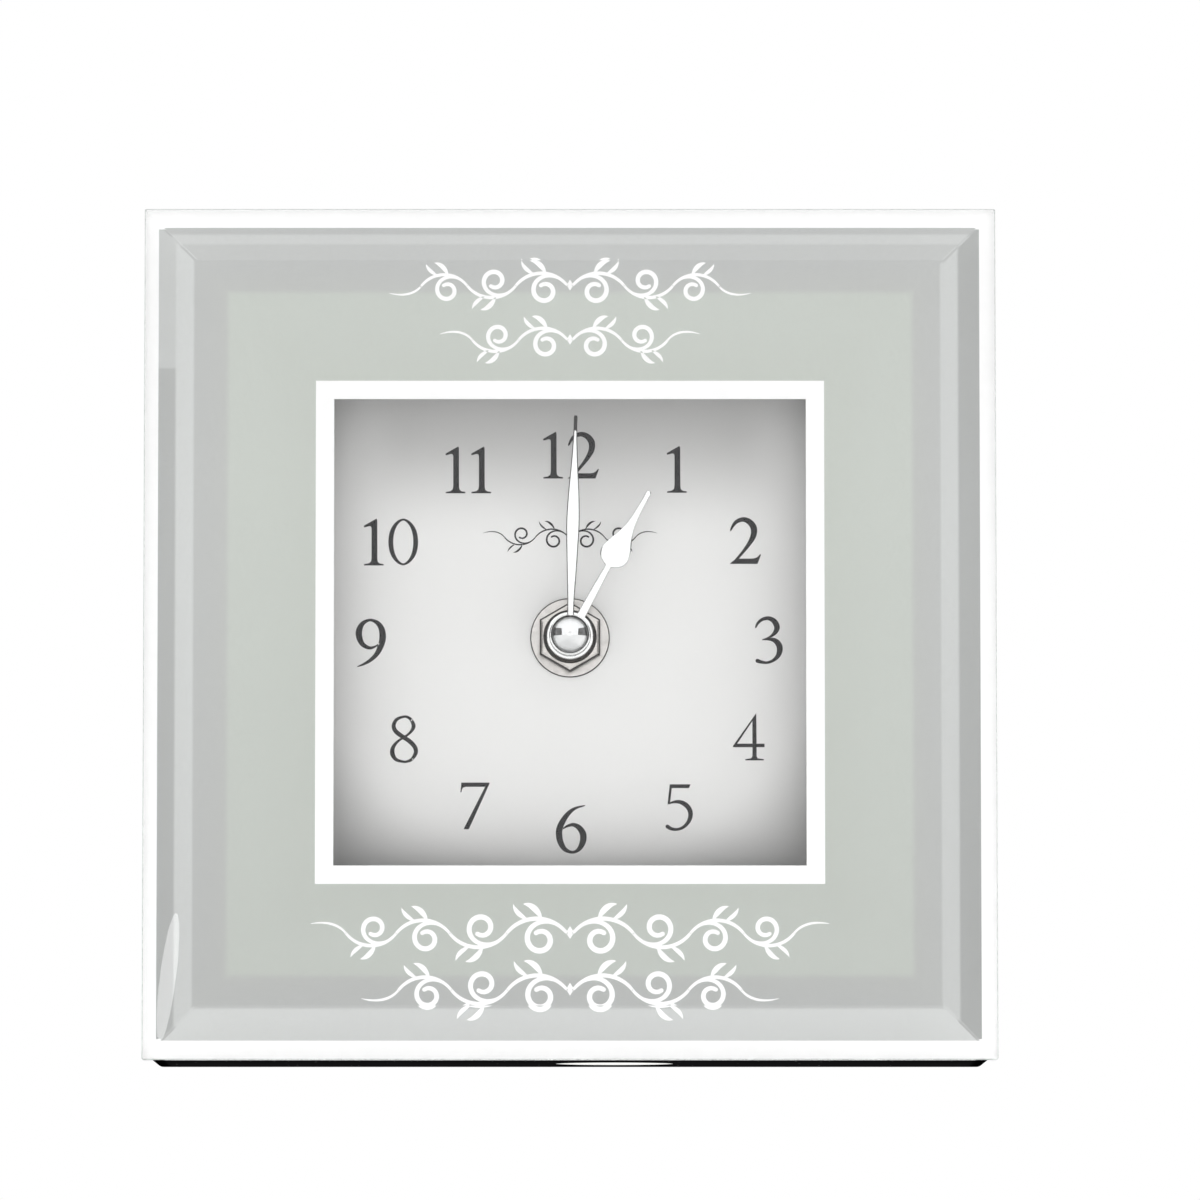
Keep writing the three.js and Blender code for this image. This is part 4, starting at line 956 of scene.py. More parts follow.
SIX = Glyph(strokes=(
    Stroke(((60.7, 100.7, 1.2), (41, 95.1, 2.8), (26.3, 84.2, 4.6), (14.7, 68.1, 6), (7.7, 52.3, 6.7),
            (6.7, 37.5, 6.8), (10.2, 21.8, 6.2), (19.3, 7.7, 4.6), (33.3, 1.8, 3.0),
            (44, 4.6, 3.6), (51.6, 12.3, 5.2), (57.3, 26, 6.6), (57.2, 41, 6.8), (48.8, 54, 5.6),
            (36.5, 60, 3.9), (24.2, 57.2, 2.6), (14.7, 51.6, 1.2))),), end=64)
SEVEN = Glyph(shapes=(((
    (2.1, 98.9), (0, 78.2), (2.1, 78.2), (3.4, 84.2), (5.6, 88.2), (11.6, 90), (52.4, 90),
    (6.7, 0), (17.9, 0), (61.8, 96.8), (61.4, 98.9)),),), end=62)
EIGHT = Glyph(strokes=(
    Stroke(((44.6, 90.2, 3.2), (38, 95, 2.8), (29.5, 96.1, 2.6), (14.7, 90.5, 3.4), (7.9, 77, 4.2),
            (13, 64.6, 4.6), (27, 53.7, 4.6), (42.8, 43.2, 4.6), (53.3, 30.9, 4.6), (54.7, 18.6, 4.2),
            (46.3, 5.3, 3.2), (38, 1.5, 2.7))),
    Stroke(((46.3, 5.3, 3.2), (38, 1.5, 2.7), (29.8, 0.4, 2.6), (13, 5.3, 3.6), (5.3, 18.6, 4.9),
            (7.7, 32.6, 3.8), (18.2, 44.9, 2.5), (32.3, 53.7, 2.3), (44.6, 64.2, 2.9),
            (50.3, 76.5, 4.2), (44.6, 90.2, 3.2), (38, 95, 2.8)))), end=60)
NINE = Glyph(strokes=(
    Stroke(((49.8, 46, 1.1), (41, 39.6, 2.1), (28.8, 36.8, 3.5), (15.4, 43.9, 4.9), (8.2, 57.2, 6.3),
            (7, 73, 6.7), (14.7, 88.8, 4.6), (30.5, 96.1, 2.8), (46.3, 89.8, 4.6), (55.1, 76.5, 6.3),
            (57.2, 58.9, 7.0), (53.3, 41.4, 6.3), (44.6, 23.9, 5.0), (32.3, 11.6, 3.8),
            (18.2, 2.8, 2.6), (4.2, -2.8, 1.0))),), end=64)
ZERO = Glyph(strokes=(Stroke((
    (31.6, 97.8, 2.1), (18, 90, 3.3), (8.4, 73, 4.7), (5.2, 50.2, 5.1), (8.4, 27.5, 4.7),
    (18, 10.4, 3.3), (31.6, 2.4, 2.1), (45.2, 10.4, 3.3), (54.8, 27.5, 4.7), (58, 50.2, 5.1),
    (54.8, 73, 4.7), (45.2, 90, 3.3)), closed=True),), end=63)
GLYPHS = (ZERO, ONE, TWO, THREE, FOUR, FIVE, SIX, SEVEN, EIGHT, NINE)


@dataclass(frozen=True)
class Vine:
    """A running vine, the same to both sides of its middle, whose arches hold curls and leaves."""

    half_width: float
    arches: int
    weight: float = 1.0
    shrink: float = 0.94
    steepness: float = 52
    middle_gap: float = 0.06
    # The diamond at its middle: half its height, and half its width as a share of that
    heart: tuple[float, float] = (0.11, 0.62)
    points: int = 34
    stem_length: float = 1.16
    stem_halves: Triple = (0.026, 0.036, 0.026)
    # As shares of the stem's length and bend
    curl_length: float = 1.55
    curl_bends: tuple[float, float] = (0.95, 4.6)
    curl_halves: Triple = (0.016, 0.046, 0.04)
    # Leaf and bud: share of the stem before it, heading, length, bends and greatest half-width
    shoots: tuple[tuple[float, float, float, tuple[float, float], float], ...] = (
        (0.42, 62, 0.42, (-22, -290), 0.052), (0.62, 28, 0.36, (33, 245), 0.04))
    shoot_ends: tuple[float, float] = (0.006, 0.004)
    tendril_length: float = 0.8
    tendril_bends: tuple[float, float] = (-150, -45)
    tendril_halves: Triple = (0.022, 0.026, 0.004)

    def bent_line(self, foot: Knot, heading: float, length: float, bends: tuple[float, float],
                  halves: Triple) -> list[Knot]:
        """A line whose bend changes evenly along it.

        Args:
            foot: Where it starts, to the right of the vine's middle and above it.
            heading: Its first direction, in degrees.
            length: Its length.
            bends: Degrees per unit of length at its start and its end.
            halves: Half-widths at its start, its middle and its end.

        Returns:
            Place and half-width of each point.
        """
        line = []
        x, z, _ = foot
        step = length / self.points
        angle = math.radians(heading)
        first, middle, last = halves
        for number in range(self.points + 1):
            t = number / self.points
            half = first * (1 - t) * (1 - 2 * t) + 4 * middle * t * (1 - t) + last * t * (2 * t - 1)
            line.append((x, z, half * self.weight))
            angle += math.radians(bends[0] + (bends[1] - bends[0]) * t) * step
            x += math.cos(angle) * step
            z += math.sin(angle) * step
        return line

    def lines(self) -> list[list[Knot]]:
        """The right half's lines, in units of one arch's span: stem, curl, leaf and bud of each arch.

        Returns:
            The lines, the last of them the tendril at the end.
        """
        drawn = []
        begin, end = self.shoot_ends
        foot, side, size = (self.middle_gap, 0.0, 0.0), 1, 1.0
        for _ in range(self.arches):
            rise = side * self.steepness
            length = size * self.stem_length
            bend = -side * 2 * self.steepness / length
            stem = self.bent_line(foot, rise, length, (bend, bend),
                                  tuple(half * size for half in self.stem_halves))
            first, last = self.curl_bends
            curl = self.bent_line(foot, rise, length * self.curl_length, (bend * first, bend * last),
                                  tuple(half * size for half in self.curl_halves))
            drawn += [stem, curl]
            for share, heading, reach, (first, last), half in self.shoots:
                drawn.append(self.bent_line(
                    stem[round(self.points * share)], side * heading, size * reach,
                    (side * first, side * last), (begin, half * size, end)))
            foot, side, size = stem[-1], -side, size * self.shrink
        first, last = self.tendril_bends
        root, middle, tip = self.tendril_halves
        tendril = self.bent_line(foot, side * self.steepness, size * self.tendril_length,
                                 (side * first, side * last), (root * size, middle * size, tip))
        return [*drawn, tendril]

    def draw(self, place: Vector) -> Piece:
        """Makes the vine as one flat piece of ink.

        Args:
            place: Where its middle lies.

        Returns:
            The vine.
        """
        lines = self.lines()
        scale = self.half_width / max(x + half for line in lines for x, _, half in line)
        flipped = [[(mirror * x, z, half) for x, z, half in line] for mirror in (1, -1) for line in lines]
        height, share = self.heart
        tall = height * scale
        wide = tall * share
        outlines = [*(outline(line, scale) for line in flipped),
                    [[(0, tall), (wide, 0), (0, -tall), (-wide, 0)]]]
        return merge_pieces([cut_flat(loops, place) for loops in outlines], fuse=True)


# Sub-assemblies

@dataclass
class GlassFront:
    """The bevelled glass plate and the printed film behind it."""

    bevel_width: float = 10 * MM
    rim: float = 2.6 * MM
    arris: float = 0.18 * MM
    film_gap: float = 0.06 * MM
    # The white edge line's width at the left, right, bottom and top
    borders: tuple[float, ...] = (2.7 * MM, 3.1 * MM, 3.7 * MM, 3.5 * MM)
    # Half the window's width and height, and how far its middle lies above the hub's
    window: tuple[float, float] = (44.3 * MM, 43.9 * MM)
    window_rise: float = 0.25 * MM
    window_line: float = 3.45 * MM
    # Each row's name, half-width in millimetres, arches and height in millimetres
    rows: tuple[tuple[str, float, int, float], ...] = (
        ("vine_top_long", 34, 3, 145.7), ("vine_top_short", 24.5, 2, 135.4),
        ("vine_bottom_long", 48.5, 4, 23.8), ("vine_bottom_short", 39, 3, 13.2))

    def build(self) -> None:
        """Builds the glass, the field, the two white lines and the four rows of ornament."""
        self.build_plate()
        self.build_film()

    def build_plate(self) -> None:
        """The plate: a block whose front is drawn forwards and inwards to the bevel."""
        low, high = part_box("glass_front")
        plate = add_block(Vector((low.x, high.y - self.rim, low.z)), high)
        pick(plate, lambda _, normal: normal.y < -0.9)
        bpy.ops.mesh.extrude_region_move(
            TRANSFORM_OT_translate={"value": (0, low.y - high.y + self.rim, 0)})
        narrower = 1 - 2 * self.bevel_width / (high.x - low.x)
        bpy.ops.transform.resize(value=(narrower, 1, narrower), center_override=(low + high) / 2)
        bpy.ops.object.mode_set(mode="OBJECT")
        soften(plate, self.arris, segments=1, angle=60)
        place_piece(plate, "bevelled_glass", "case", FloatGlass(), "glass_front")
        points = plate.data.vertices

        def is_seamed(face: bpy.types.MeshPolygon) -> bool:
            """Whether a face is a narrow one behind the front."""
            ends = [points[i].co for i in face.vertices]
            narrowest = min((there - here).length for here, there in zip(ends, ends[1:] + ends[:1]))
            return face.center.y > low.y + self.bevel_width / 10 and narrowest < 2 * self.arris

        dress_faces(plate, GLASS_EDGE, is_seamed)
        for face in plate.data.polygons:
            face.use_smooth = False

    def rectangle(self, left: float, right: float, bottom: float, top: float) -> Loop:
        """A rectangle's corners, as distances from the hub."""
        return [(-left, -bottom), (right, -bottom), (right, top), (-left, top)]

    def build_film(self) -> None:
        """The film's field, the white lines round the glass and the window, and the ornament."""
        low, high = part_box("printed_film")
        front = low.y + self.film_gap
        rise, line = self.window_rise, self.window_line
        wide, tall = self.window
        outside = self.rectangle(high.x, high.x, high.x, high.x)
        window = self.rectangle(wide, wide, tall - rise, tall + rise)
        middle = HUB + Vector((0, (front + high.y) / 2, 0))
        field = cut_flat([outside, window], middle, high.y - front)
        place_piece(field, "film_field", "case", BackPrint(), "printed_film")
        dress_faces(field, BLACK_BACKING, lambda face: face.normal.y > 0.5)
        middle.y = front
        inside = self.rectangle(*(high.x - border for border in self.borders))
        around = self.rectangle(wide + line, wide + line, tall + line - rise, tall + line + rise)
        for name, loops in (("edge_line", [outside, inside]), ("window_line", [around, window])):
            place_piece(cut_flat(loops, middle), name, "case", WHITE_INK)
        for name, half_width, arches, height in self.rows:
            row = Vine(half_width * MM, arches).draw(Vector((0, front, height * MM)))
            place_piece(row, name, "case", WHITE_INK)


@dataclass
class Dial:
    """The dial's numbers and its small ornament, printed on the card."""

    number_height: float = 8.9 * MM
    digit_gap: float = 10
    ones_gap: float = 13
    ring_drop: float = 0.8 * MM
    ornament: Vine = Vine(16.5 * MM, 2, weight=0.62)
    ornament_rise: float = 19.2 * MM
    # Where the middle of each number lies, to the right of the hub and above it, in millimetres
    places: tuple[tuple[str, float, float], ...] = (
        ("12", 0.2, 35.5), ("1", 20.2, 32.8), ("2", 33.1, 19.3), ("3", 37.5, 0.4), ("4", 33.7, -17.9),
        ("5", 20.5, -31.1), ("6", 0.2, -35.4), ("7", -17.9, -30.9), ("8", -31.3, -18.2),
        ("9", -37.6, 0.1), ("10", -33.8, 19.0), ("11", -19.2, 32.7))

    def build(self) -> None:
        """Dresses the card and prints the numbers and the ornament on it."""
        dress("dial_card", DialCard())
        for text, x, z in self.places:
            self.print_number(text, x * MM, z * MM - self.ring_drop)
        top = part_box("dial_card")[0].y
        ornament = self.ornament.draw(HUB + Vector((0, top, self.ornament_rise)))
        place_piece(ornament, "dial_vine", "case", DARK_INK)

    def print_number(self, text: str, x: float, z: float) -> None:
        """Prints a number with its middle at a place.

        Args:
            text: The number.
            x: How far to the right of the hub.
            z: How far above the hub.
        """
        unit = self.number_height / 100
        gap = self.ones_gap if text == "11" else self.digit_gap
        glyphs = [GLYPHS[int(digit)] for digit in text]
        width = sum(glyph.end - glyph.start for glyph in glyphs) + gap * (len(glyphs) - 1)
        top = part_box("dial_card")[0].y
        pen = -width / 2
        parts = []
        for glyph in glyphs:
            place = HUB + Vector((x + (pen - glyph.start) * unit, top, z - 50 * unit))
            drawn = [outline(stroke.spine(), unit, stroke.closed) for stroke in glyph.strokes]
            cut = [[[(u * unit, v * unit) for u, v in loop] for loop in shape] for shape in glyph.shapes]
            parts += [cut_flat(loops, place) for loops in drawn + cut]
            pen += glyph.end - glyph.start + gap
        number = merge_pieces(parts, fuse=len(parts) > 1)
        place_piece(number, f"number_{text}", "case", DARK_INK)


@dataclass
class Hub:
    """Washer, nut, brass nose, collar, both hands and the cap nut, on one axis."""

    sides: int = 96
    bore: float = 4.1 * MM
    washer_radius: float = 7.5 * MM
    washer_edge: float = 0.2 * MM
    across_flats: float = 11.4 * MM
    # The nut's turned corners: how far outside the flats they begin, how far out they reach and how deep
    chamfer: Triple = (0.25 * MM, 0.1 * MM, 0.16 * MM)
    edge_cut: float = 0.3 * MM
    face_margin: float = 0.28 * MM
    face_rise: float = 0.14 * MM
    countersink: float = 0.95 * MM
    nose_radius: float = 4 * MM
    nose_lead: float = 0.2 * MM
    thread_pitch: float = 0.75 * MM
    thread_depth: float = 0.3 * MM
    # How far from the nose's front the thread begins, and how much of the nose it leaves bare at least
    thread_margins: tuple[float, float] = (0.1 * MM, 0.5 * MM)
    # The shares of the pitch at which a ridge reaches its crest and its foot
    ridge: tuple[float, float] = (0.45, 0.9)
    # The flange's radius and thickness
    flange: tuple[float, float] = (5 * MM, 0.7 * MM)
    hour_bore: float = 2.75 * MM
    collar_radius: float = 4.45 * MM
    # How far inside the radius and how far behind the front the points of the collar's rounding lie
    collar_edge: tuple[tuple[float, float], ...] = (
        (0.15 * MM, 0), (0.04 * MM, 0.05 * MM), (0, 0.16 * MM))
    collar_cut: float = 0.1 * MM
    collar_waist: float = 3.6 * MM
    collar_step: float = 0.6 * MM
    minute_boss: float = 3.9 * MM
    minute_seat: float = 1.2 * MM
    cap_radius: float = 3.6 * MM
    cap_slope: float = math.radians(49)
    cap_steps: int = 18
    cap_edge: float = 0.08 * MM
    # How far the cap's bore reaches into its dome
    dome_bore: float = 1.0 * MM
    # The centre mark's radius and depth
    cap_mark: tuple[float, float] = (0.32 * MM, 0.16 * MM)
    # Where the mark's wall bends: the share of its radius, and the depth there
    mark_wall: tuple[float, float] = (0.7, 0.05 * MM)
    disc_sides: int = 72
    hand_edge: float = 0.19 * MM
    minute_angle: float = math.radians(1.5)
    hour_angle: float = math.radians(28.8)

    # Distance from the hub and half-width, in millimetres
    minute_blade: tuple[tuple[float, float], ...] = (
        (0, 0.6), (6.4, 0.66), (12, 0.92), (15.9, 1.08), (21.2, 1.25), (26.5, 1.07), (32.3, 0.66),
        (38, 0.37), (41.2, 0.34))
    minute_tip: tuple[tuple[float, float], ...] = ((41.5, 0.26),)
    hour_stem: tuple[tuple[float, float], ...] = ((0, 0.85), (4.4, 0.85), (14.9, 0.58))
    hour_blade: tuple[tuple[float, float], ...] = (
        (15.1, 1.0), (15.65, 1.9), (16.5, 2.55), (17.7, 2.8), (19.6, 2.3), (21.7, 1.45),
        (24.2, 0.8), (27.5, 0.56), (30.7, 0.5))

    def build(self) -> None:
        """Builds the pieces from the dial forwards."""
        self.build_washer()
        self.build_nut()
        self.build_nose()
        self.build_collar()
        self.build_hour_hand()
        self.build_minute_hand()
        self.build_cap()

    def front_and_depth(self, node: str) -> tuple[Vector, float]:
        """Where a solid's front lies on the hub's axis, and how deep the solid is."""
        low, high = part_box(node)
        return HUB + BACKWARDS * low.y, high.y - low.y

    def build_washer(self) -> None:
        """The thin washer, with its stamped edge rounded."""
        front, thick = self.front_and_depth("dial_washer")
        outer, edge = self.washer_radius, self.washer_edge
        washer = turn_on_lathe([
            (self.bore, 0), (outer - edge, 0), (outer, edge), (outer, thick), (self.bore, thick),
            (self.bore, 0)], front, self.sides)
        place_piece(washer, "clamp_washer", "case", STAMPED_STEEL, "dial_washer")
        # Its edge faces are painted dark: painted shade and reflection along the outline
        dress_faces(washer, UNPLATED_EDGE_PAINTED_DARK, is_edge)

    def build_nut(self) -> None:
        """The hexagon nut, turned down at its corners and countersunk at its thread."""
        low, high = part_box("hex_nut")
        front, thick = self.front_and_depth("hex_nut")
        flat = self.across_flats / 2
        corner = flat / math.cos(math.pi / 6)
        rise = self.face_rise + self.edge_cut
        nut = add_cylinder(HUB + BACKWARDS * ((low.y + rise + high.y) / 2), corner, thick - rise, sides=6)
        turn_about_hub(nut, math.pi / 6)
        pick(nut, lambda _, normal: normal.y < -0.9)
        bpy.ops.mesh.inset(thickness=self.edge_cut, depth=self.edge_cut)
        bpy.ops.mesh.inset(thickness=self.face_margin, depth=self.face_rise)
        bpy.ops.object.mode_set(mode="OBJECT")
        begin, over, deep = self.chamfer
        past = thick + MM
        carve(nut, turn_on_lathe([
            (0, 0), (flat + begin, 0), (corner + over, deep), (corner + over, past), (0, past)],
            front, self.sides), Carving.SHARED)
        sink = self.countersink
        carve(nut, turn_on_lathe([
            (0, -MM), (self.bore + sink + MM, -MM), (self.bore, sink), (self.bore, past), (0, past)],
            front))
        bpy.ops.object.shade_smooth_by_angle(angle=math.radians(15))
        place_piece(nut, "hexagon_nut", "case", MILLED_NICKEL, "hex_nut")
        # Its side faces are painted dark: painted shade and reflection along the outline
        dress_faces(nut, UNPLATED_EDGE_PAINTED_DARK, is_edge)

    def build_nose(self) -> None:
        """The brass nose with its thread cut as ridges, and its flange inside the movement."""
        front, long = self.front_and_depth("threaded_bushing")
        wide, thick = self.flange
        root, pitch, lead = self.nose_radius - self.thread_depth, self.thread_pitch, self.nose_lead
        start, spare = self.thread_margins
        crest, valley = self.ridge
        profile = [(self.hour_bore, lead), (self.hour_bore + lead, 0), (root, 0)]
        for number in range(int((long - thick - spare) / pitch)):
            at = start + number * pitch
            profile += [(root, at), (self.nose_radius, at + pitch * crest), (root, at + pitch * valley)]
        profile += [(root, long - thick), (wide, long - thick), (wide, long), (self.hour_bore, long),
                    (self.hour_bore, lead)]
        nose = turn_on_lathe(profile, front, self.sides)
        place_piece(nose, "brass_nose", "case", TURNED_BRASS, "threaded_bushing")

    def build_collar(self) -> None:
        """The hour hand's collar: a bright ring, turned in below to a waist."""
        front, long = self.front_and_depth("hour_collar")
        radius, cut, waist_start = self.collar_radius, self.collar_cut, long - self.collar_step
        collar = turn_on_lathe([
            (self.hour_bore, 0), *((radius - inset, behind) for inset, behind in self.collar_edge),
            (radius, waist_start - cut), (radius - cut, waist_start), (self.collar_waist, long),
            (self.hour_bore, long), (self.hour_bore, 0)], front, self.sides)
        place_piece(collar, "bright_collar", "hour_work", CHROME, "hour_collar")

    def hand_outline(self, stem: tuple, blade: tuple, tip: tuple) -> Loop:
        """A hand's outline, the same on both sides of its middle.

        Args:
            stem: Distance from the hub and half-width of points before the blade.
            blade: The same of the blade's knots, joined by a smooth line.
            tip: The same of points after it.

        Returns:
            The closed outline.
        """
        curved = Stroke(tuple((along, half, 0.0) for along, half in blade)).spine(steps=5)
        edge = [*stem, *(knot[:2] for knot in curved), *tip]
        right = [(half * MM, along * MM) for along, half in edge]
        return [*right, *((-x, z) for x, z in reversed(right))]

    def make_hand(self, node: str, blade: Loop, boss: float, seat: float, angle: float) -> Piece:
        """A hand cut from sheet: blade and boss in one, with its edges polished round.

        Args:
            node: The solid whose depth the hand takes.
            blade: The blade's outline, pointing up.
            boss: The radius of its disc.
            seat: The radius of the hole in the disc.
            angle: How far it then turns clockwise.

        Returns:
            The hand.
        """
        low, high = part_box(node)
        middle = HUB + BACKWARDS * ((low.y + high.y) / 2)
        thick = high.y - low.y
        turns = [FULL_TURN * i / self.disc_sides for i in range(self.disc_sides)]
        disc = [(boss * math.cos(turn), boss * math.sin(turn)) for turn in turns]
        hand = merge_pieces(
            [cut_flat([loop], middle, thick, self.hand_edge) for loop in (blade, disc)], fuse=True)
        carve(hand, add_cylinder(middle, seat, 3 * thick))
        weld(hand)
        bpy.ops.object.shade_smooth_by_angle(angle=math.radians(20))
        turn_about_hub(hand, angle)
        return hand

    def build_minute_hand(self) -> None:
        """The minute hand, a long leaf with a squared tip."""
        blade = self.hand_outline((), self.minute_blade, self.minute_tip)
        hand = self.make_hand("minute_hand", blade, self.minute_boss, self.minute_seat, self.minute_angle)
        place_piece(hand, "minute_leaf", "minute_work", MINUTE_METAL, "minute_hand")
        # Its edge faces are painted dark: painted shade and reflection along the outline
        dress_faces(hand, UNPLATED_EDGE_PAINTED_DARK, is_edge)

    def build_hour_hand(self) -> None:
        """The hour hand, a spade on a straight stem with a long round-ended point."""
        end, half = self.hour_blade[-1]
        tip = tuple((end + half * math.sin(a), half * math.cos(a)) for a in (0.4, 0.8, 1.2, 1.45))
        blade = self.hand_outline(self.hour_stem, self.hour_blade, tip)
        hand = self.make_hand("hour_hand", blade, self.collar_radius, self.hour_bore, self.hour_angle)
        place_piece(hand, "hour_spade", "hour_work", HOUR_METAL, "hour_hand")
        # Its edge faces are painted dark: painted shade and reflection along the outline
        dress_faces(hand, UNPLATED_EDGE_PAINTED_DARK, is_edge)

    def build_cap(self) -> None:
        """The domed cap nut, with the small centre mark that turning leaves."""
        front, long = self.front_and_depth("cap_nut")
        ball = self.cap_radius / math.sin(self.cap_slope)
        floor = ball * (1 - math.cos(self.cap_slope)) - self.dome_bore
        mark, deep = self.cap_mark
        share, shallow = self.mark_wall
        profile = [(0, deep), (mark * share, shallow)]
        for step in range(self.cap_steps + 1):
            angle = self.cap_slope * step / self.cap_steps
            radius = ball * math.sin(angle)
            if radius > mark:
                profile.append((radius, ball * (1 - math.cos(angle))))
        edge = self.cap_edge
        profile += [(self.cap_radius, long - edge), (self.cap_radius - edge, long),
                    (self.minute_seat, long), (self.minute_seat, floor), (0, floor)]
        cap = turn_on_lathe(profile, front, self.sides)
        place_piece(cap, "domed_cap", "minute_work", CHROME, "cap_nut")


@dataclass
class Case:
    """The flock-covered case with its boards, back panel, screws and label."""

    screw_head: float = 3 * MM
    # How far inside the head's radius and how far below its top the points of its edge lie
    head_edge: tuple[tuple[float, float], ...] = (
        (0.1 * MM, 0), (0, 0.1 * MM), (0.05 * MM, 0.2 * MM))
    screw_shank: float = 1.3 * MM
    screw_head_height: float = 1.8 * MM
    screw_pitch: float = 0.9 * MM
    thread_start: float = 0.3 * MM
    thread_depth: float = 0.3 * MM
    # The shares of the pitch at which a ridge reaches its crest and its foot
    ridge: tuple[float, float] = (0.5, 0.95)
    slot_width: float = 0.8 * MM
    slot_depth: float = 0.7 * MM
    label_sides: int = 96
    label_edge: float = 0.03 * MM

    def build(self) -> None:
        """Dresses the boards and builds label and screws."""
        dress("flock_cover back_panel", FLOCK)
        dress("front_board recess_spacer", BLACK_BACKING)
        dress("rail_bottom rail_top rail_left rail_right dial_board", FIBREBOARD)
        dress("dial_gasket", BLACK_RUBBER)
        self.build_label()
        for number in range(1, 5):
            self.build_screw(number)

    def build_label(self) -> None:
        """The oval paper label in its place underneath."""
        low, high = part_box("base_label")
        middle = (low + high) / 2
        label = add_cylinder(middle, 0.5, high.z - low.z, sides=self.label_sides, along=UP)
        bpy.ops.transform.resize(value=(high.x - low.x, high.y - low.y, 1), center_override=middle)
        settle()
        soften(label, self.label_edge, segments=1, angle=60)
        place_piece(label, "oval_label", "case", LABEL_PAPER, "base_label")

    def build_screw(self, number: int) -> None:
        """A countersunk slotted screw with a thread cut as ridges.

        Args:
            number: Which of the four solids it stands for.
        """
        node = f"back_screw_{number}"
        low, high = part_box(node)
        long = high.y - low.y
        centre = Vector(((low.x + high.x) / 2, high.y, (low.z + high.z) / 2))
        head, neck = self.screw_head, self.screw_head_height
        shank, pitch = self.screw_shank, self.screw_pitch
        root = shank - self.thread_depth
        crest, valley = self.ridge
        profile = [(0, 0), *((head - inset, below) for inset, below in self.head_edge), (shank, neck)]
        for turn in range(int((long - neck) / pitch) - 1):
            at = neck + self.thread_start + turn * pitch
            profile += [(root, at), (shank, at + pitch * crest), (root, at + pitch * valley)]
        screw = turn_on_lathe([*profile, (0, long)], centre, steps=40, along=-BACKWARDS)
        reach = head + MM
        carve(screw, add_block(centre + Vector((-reach, -self.slot_depth, -self.slot_width / 2)),
                               centre + Vector((reach, MM, self.slot_width / 2))))
        bpy.ops.object.shade_smooth_by_angle(angle=SMOOTH_ANGLE)
        place_piece(screw, f"panel_screw_{number}", "case", STAMPED_STEEL, node)


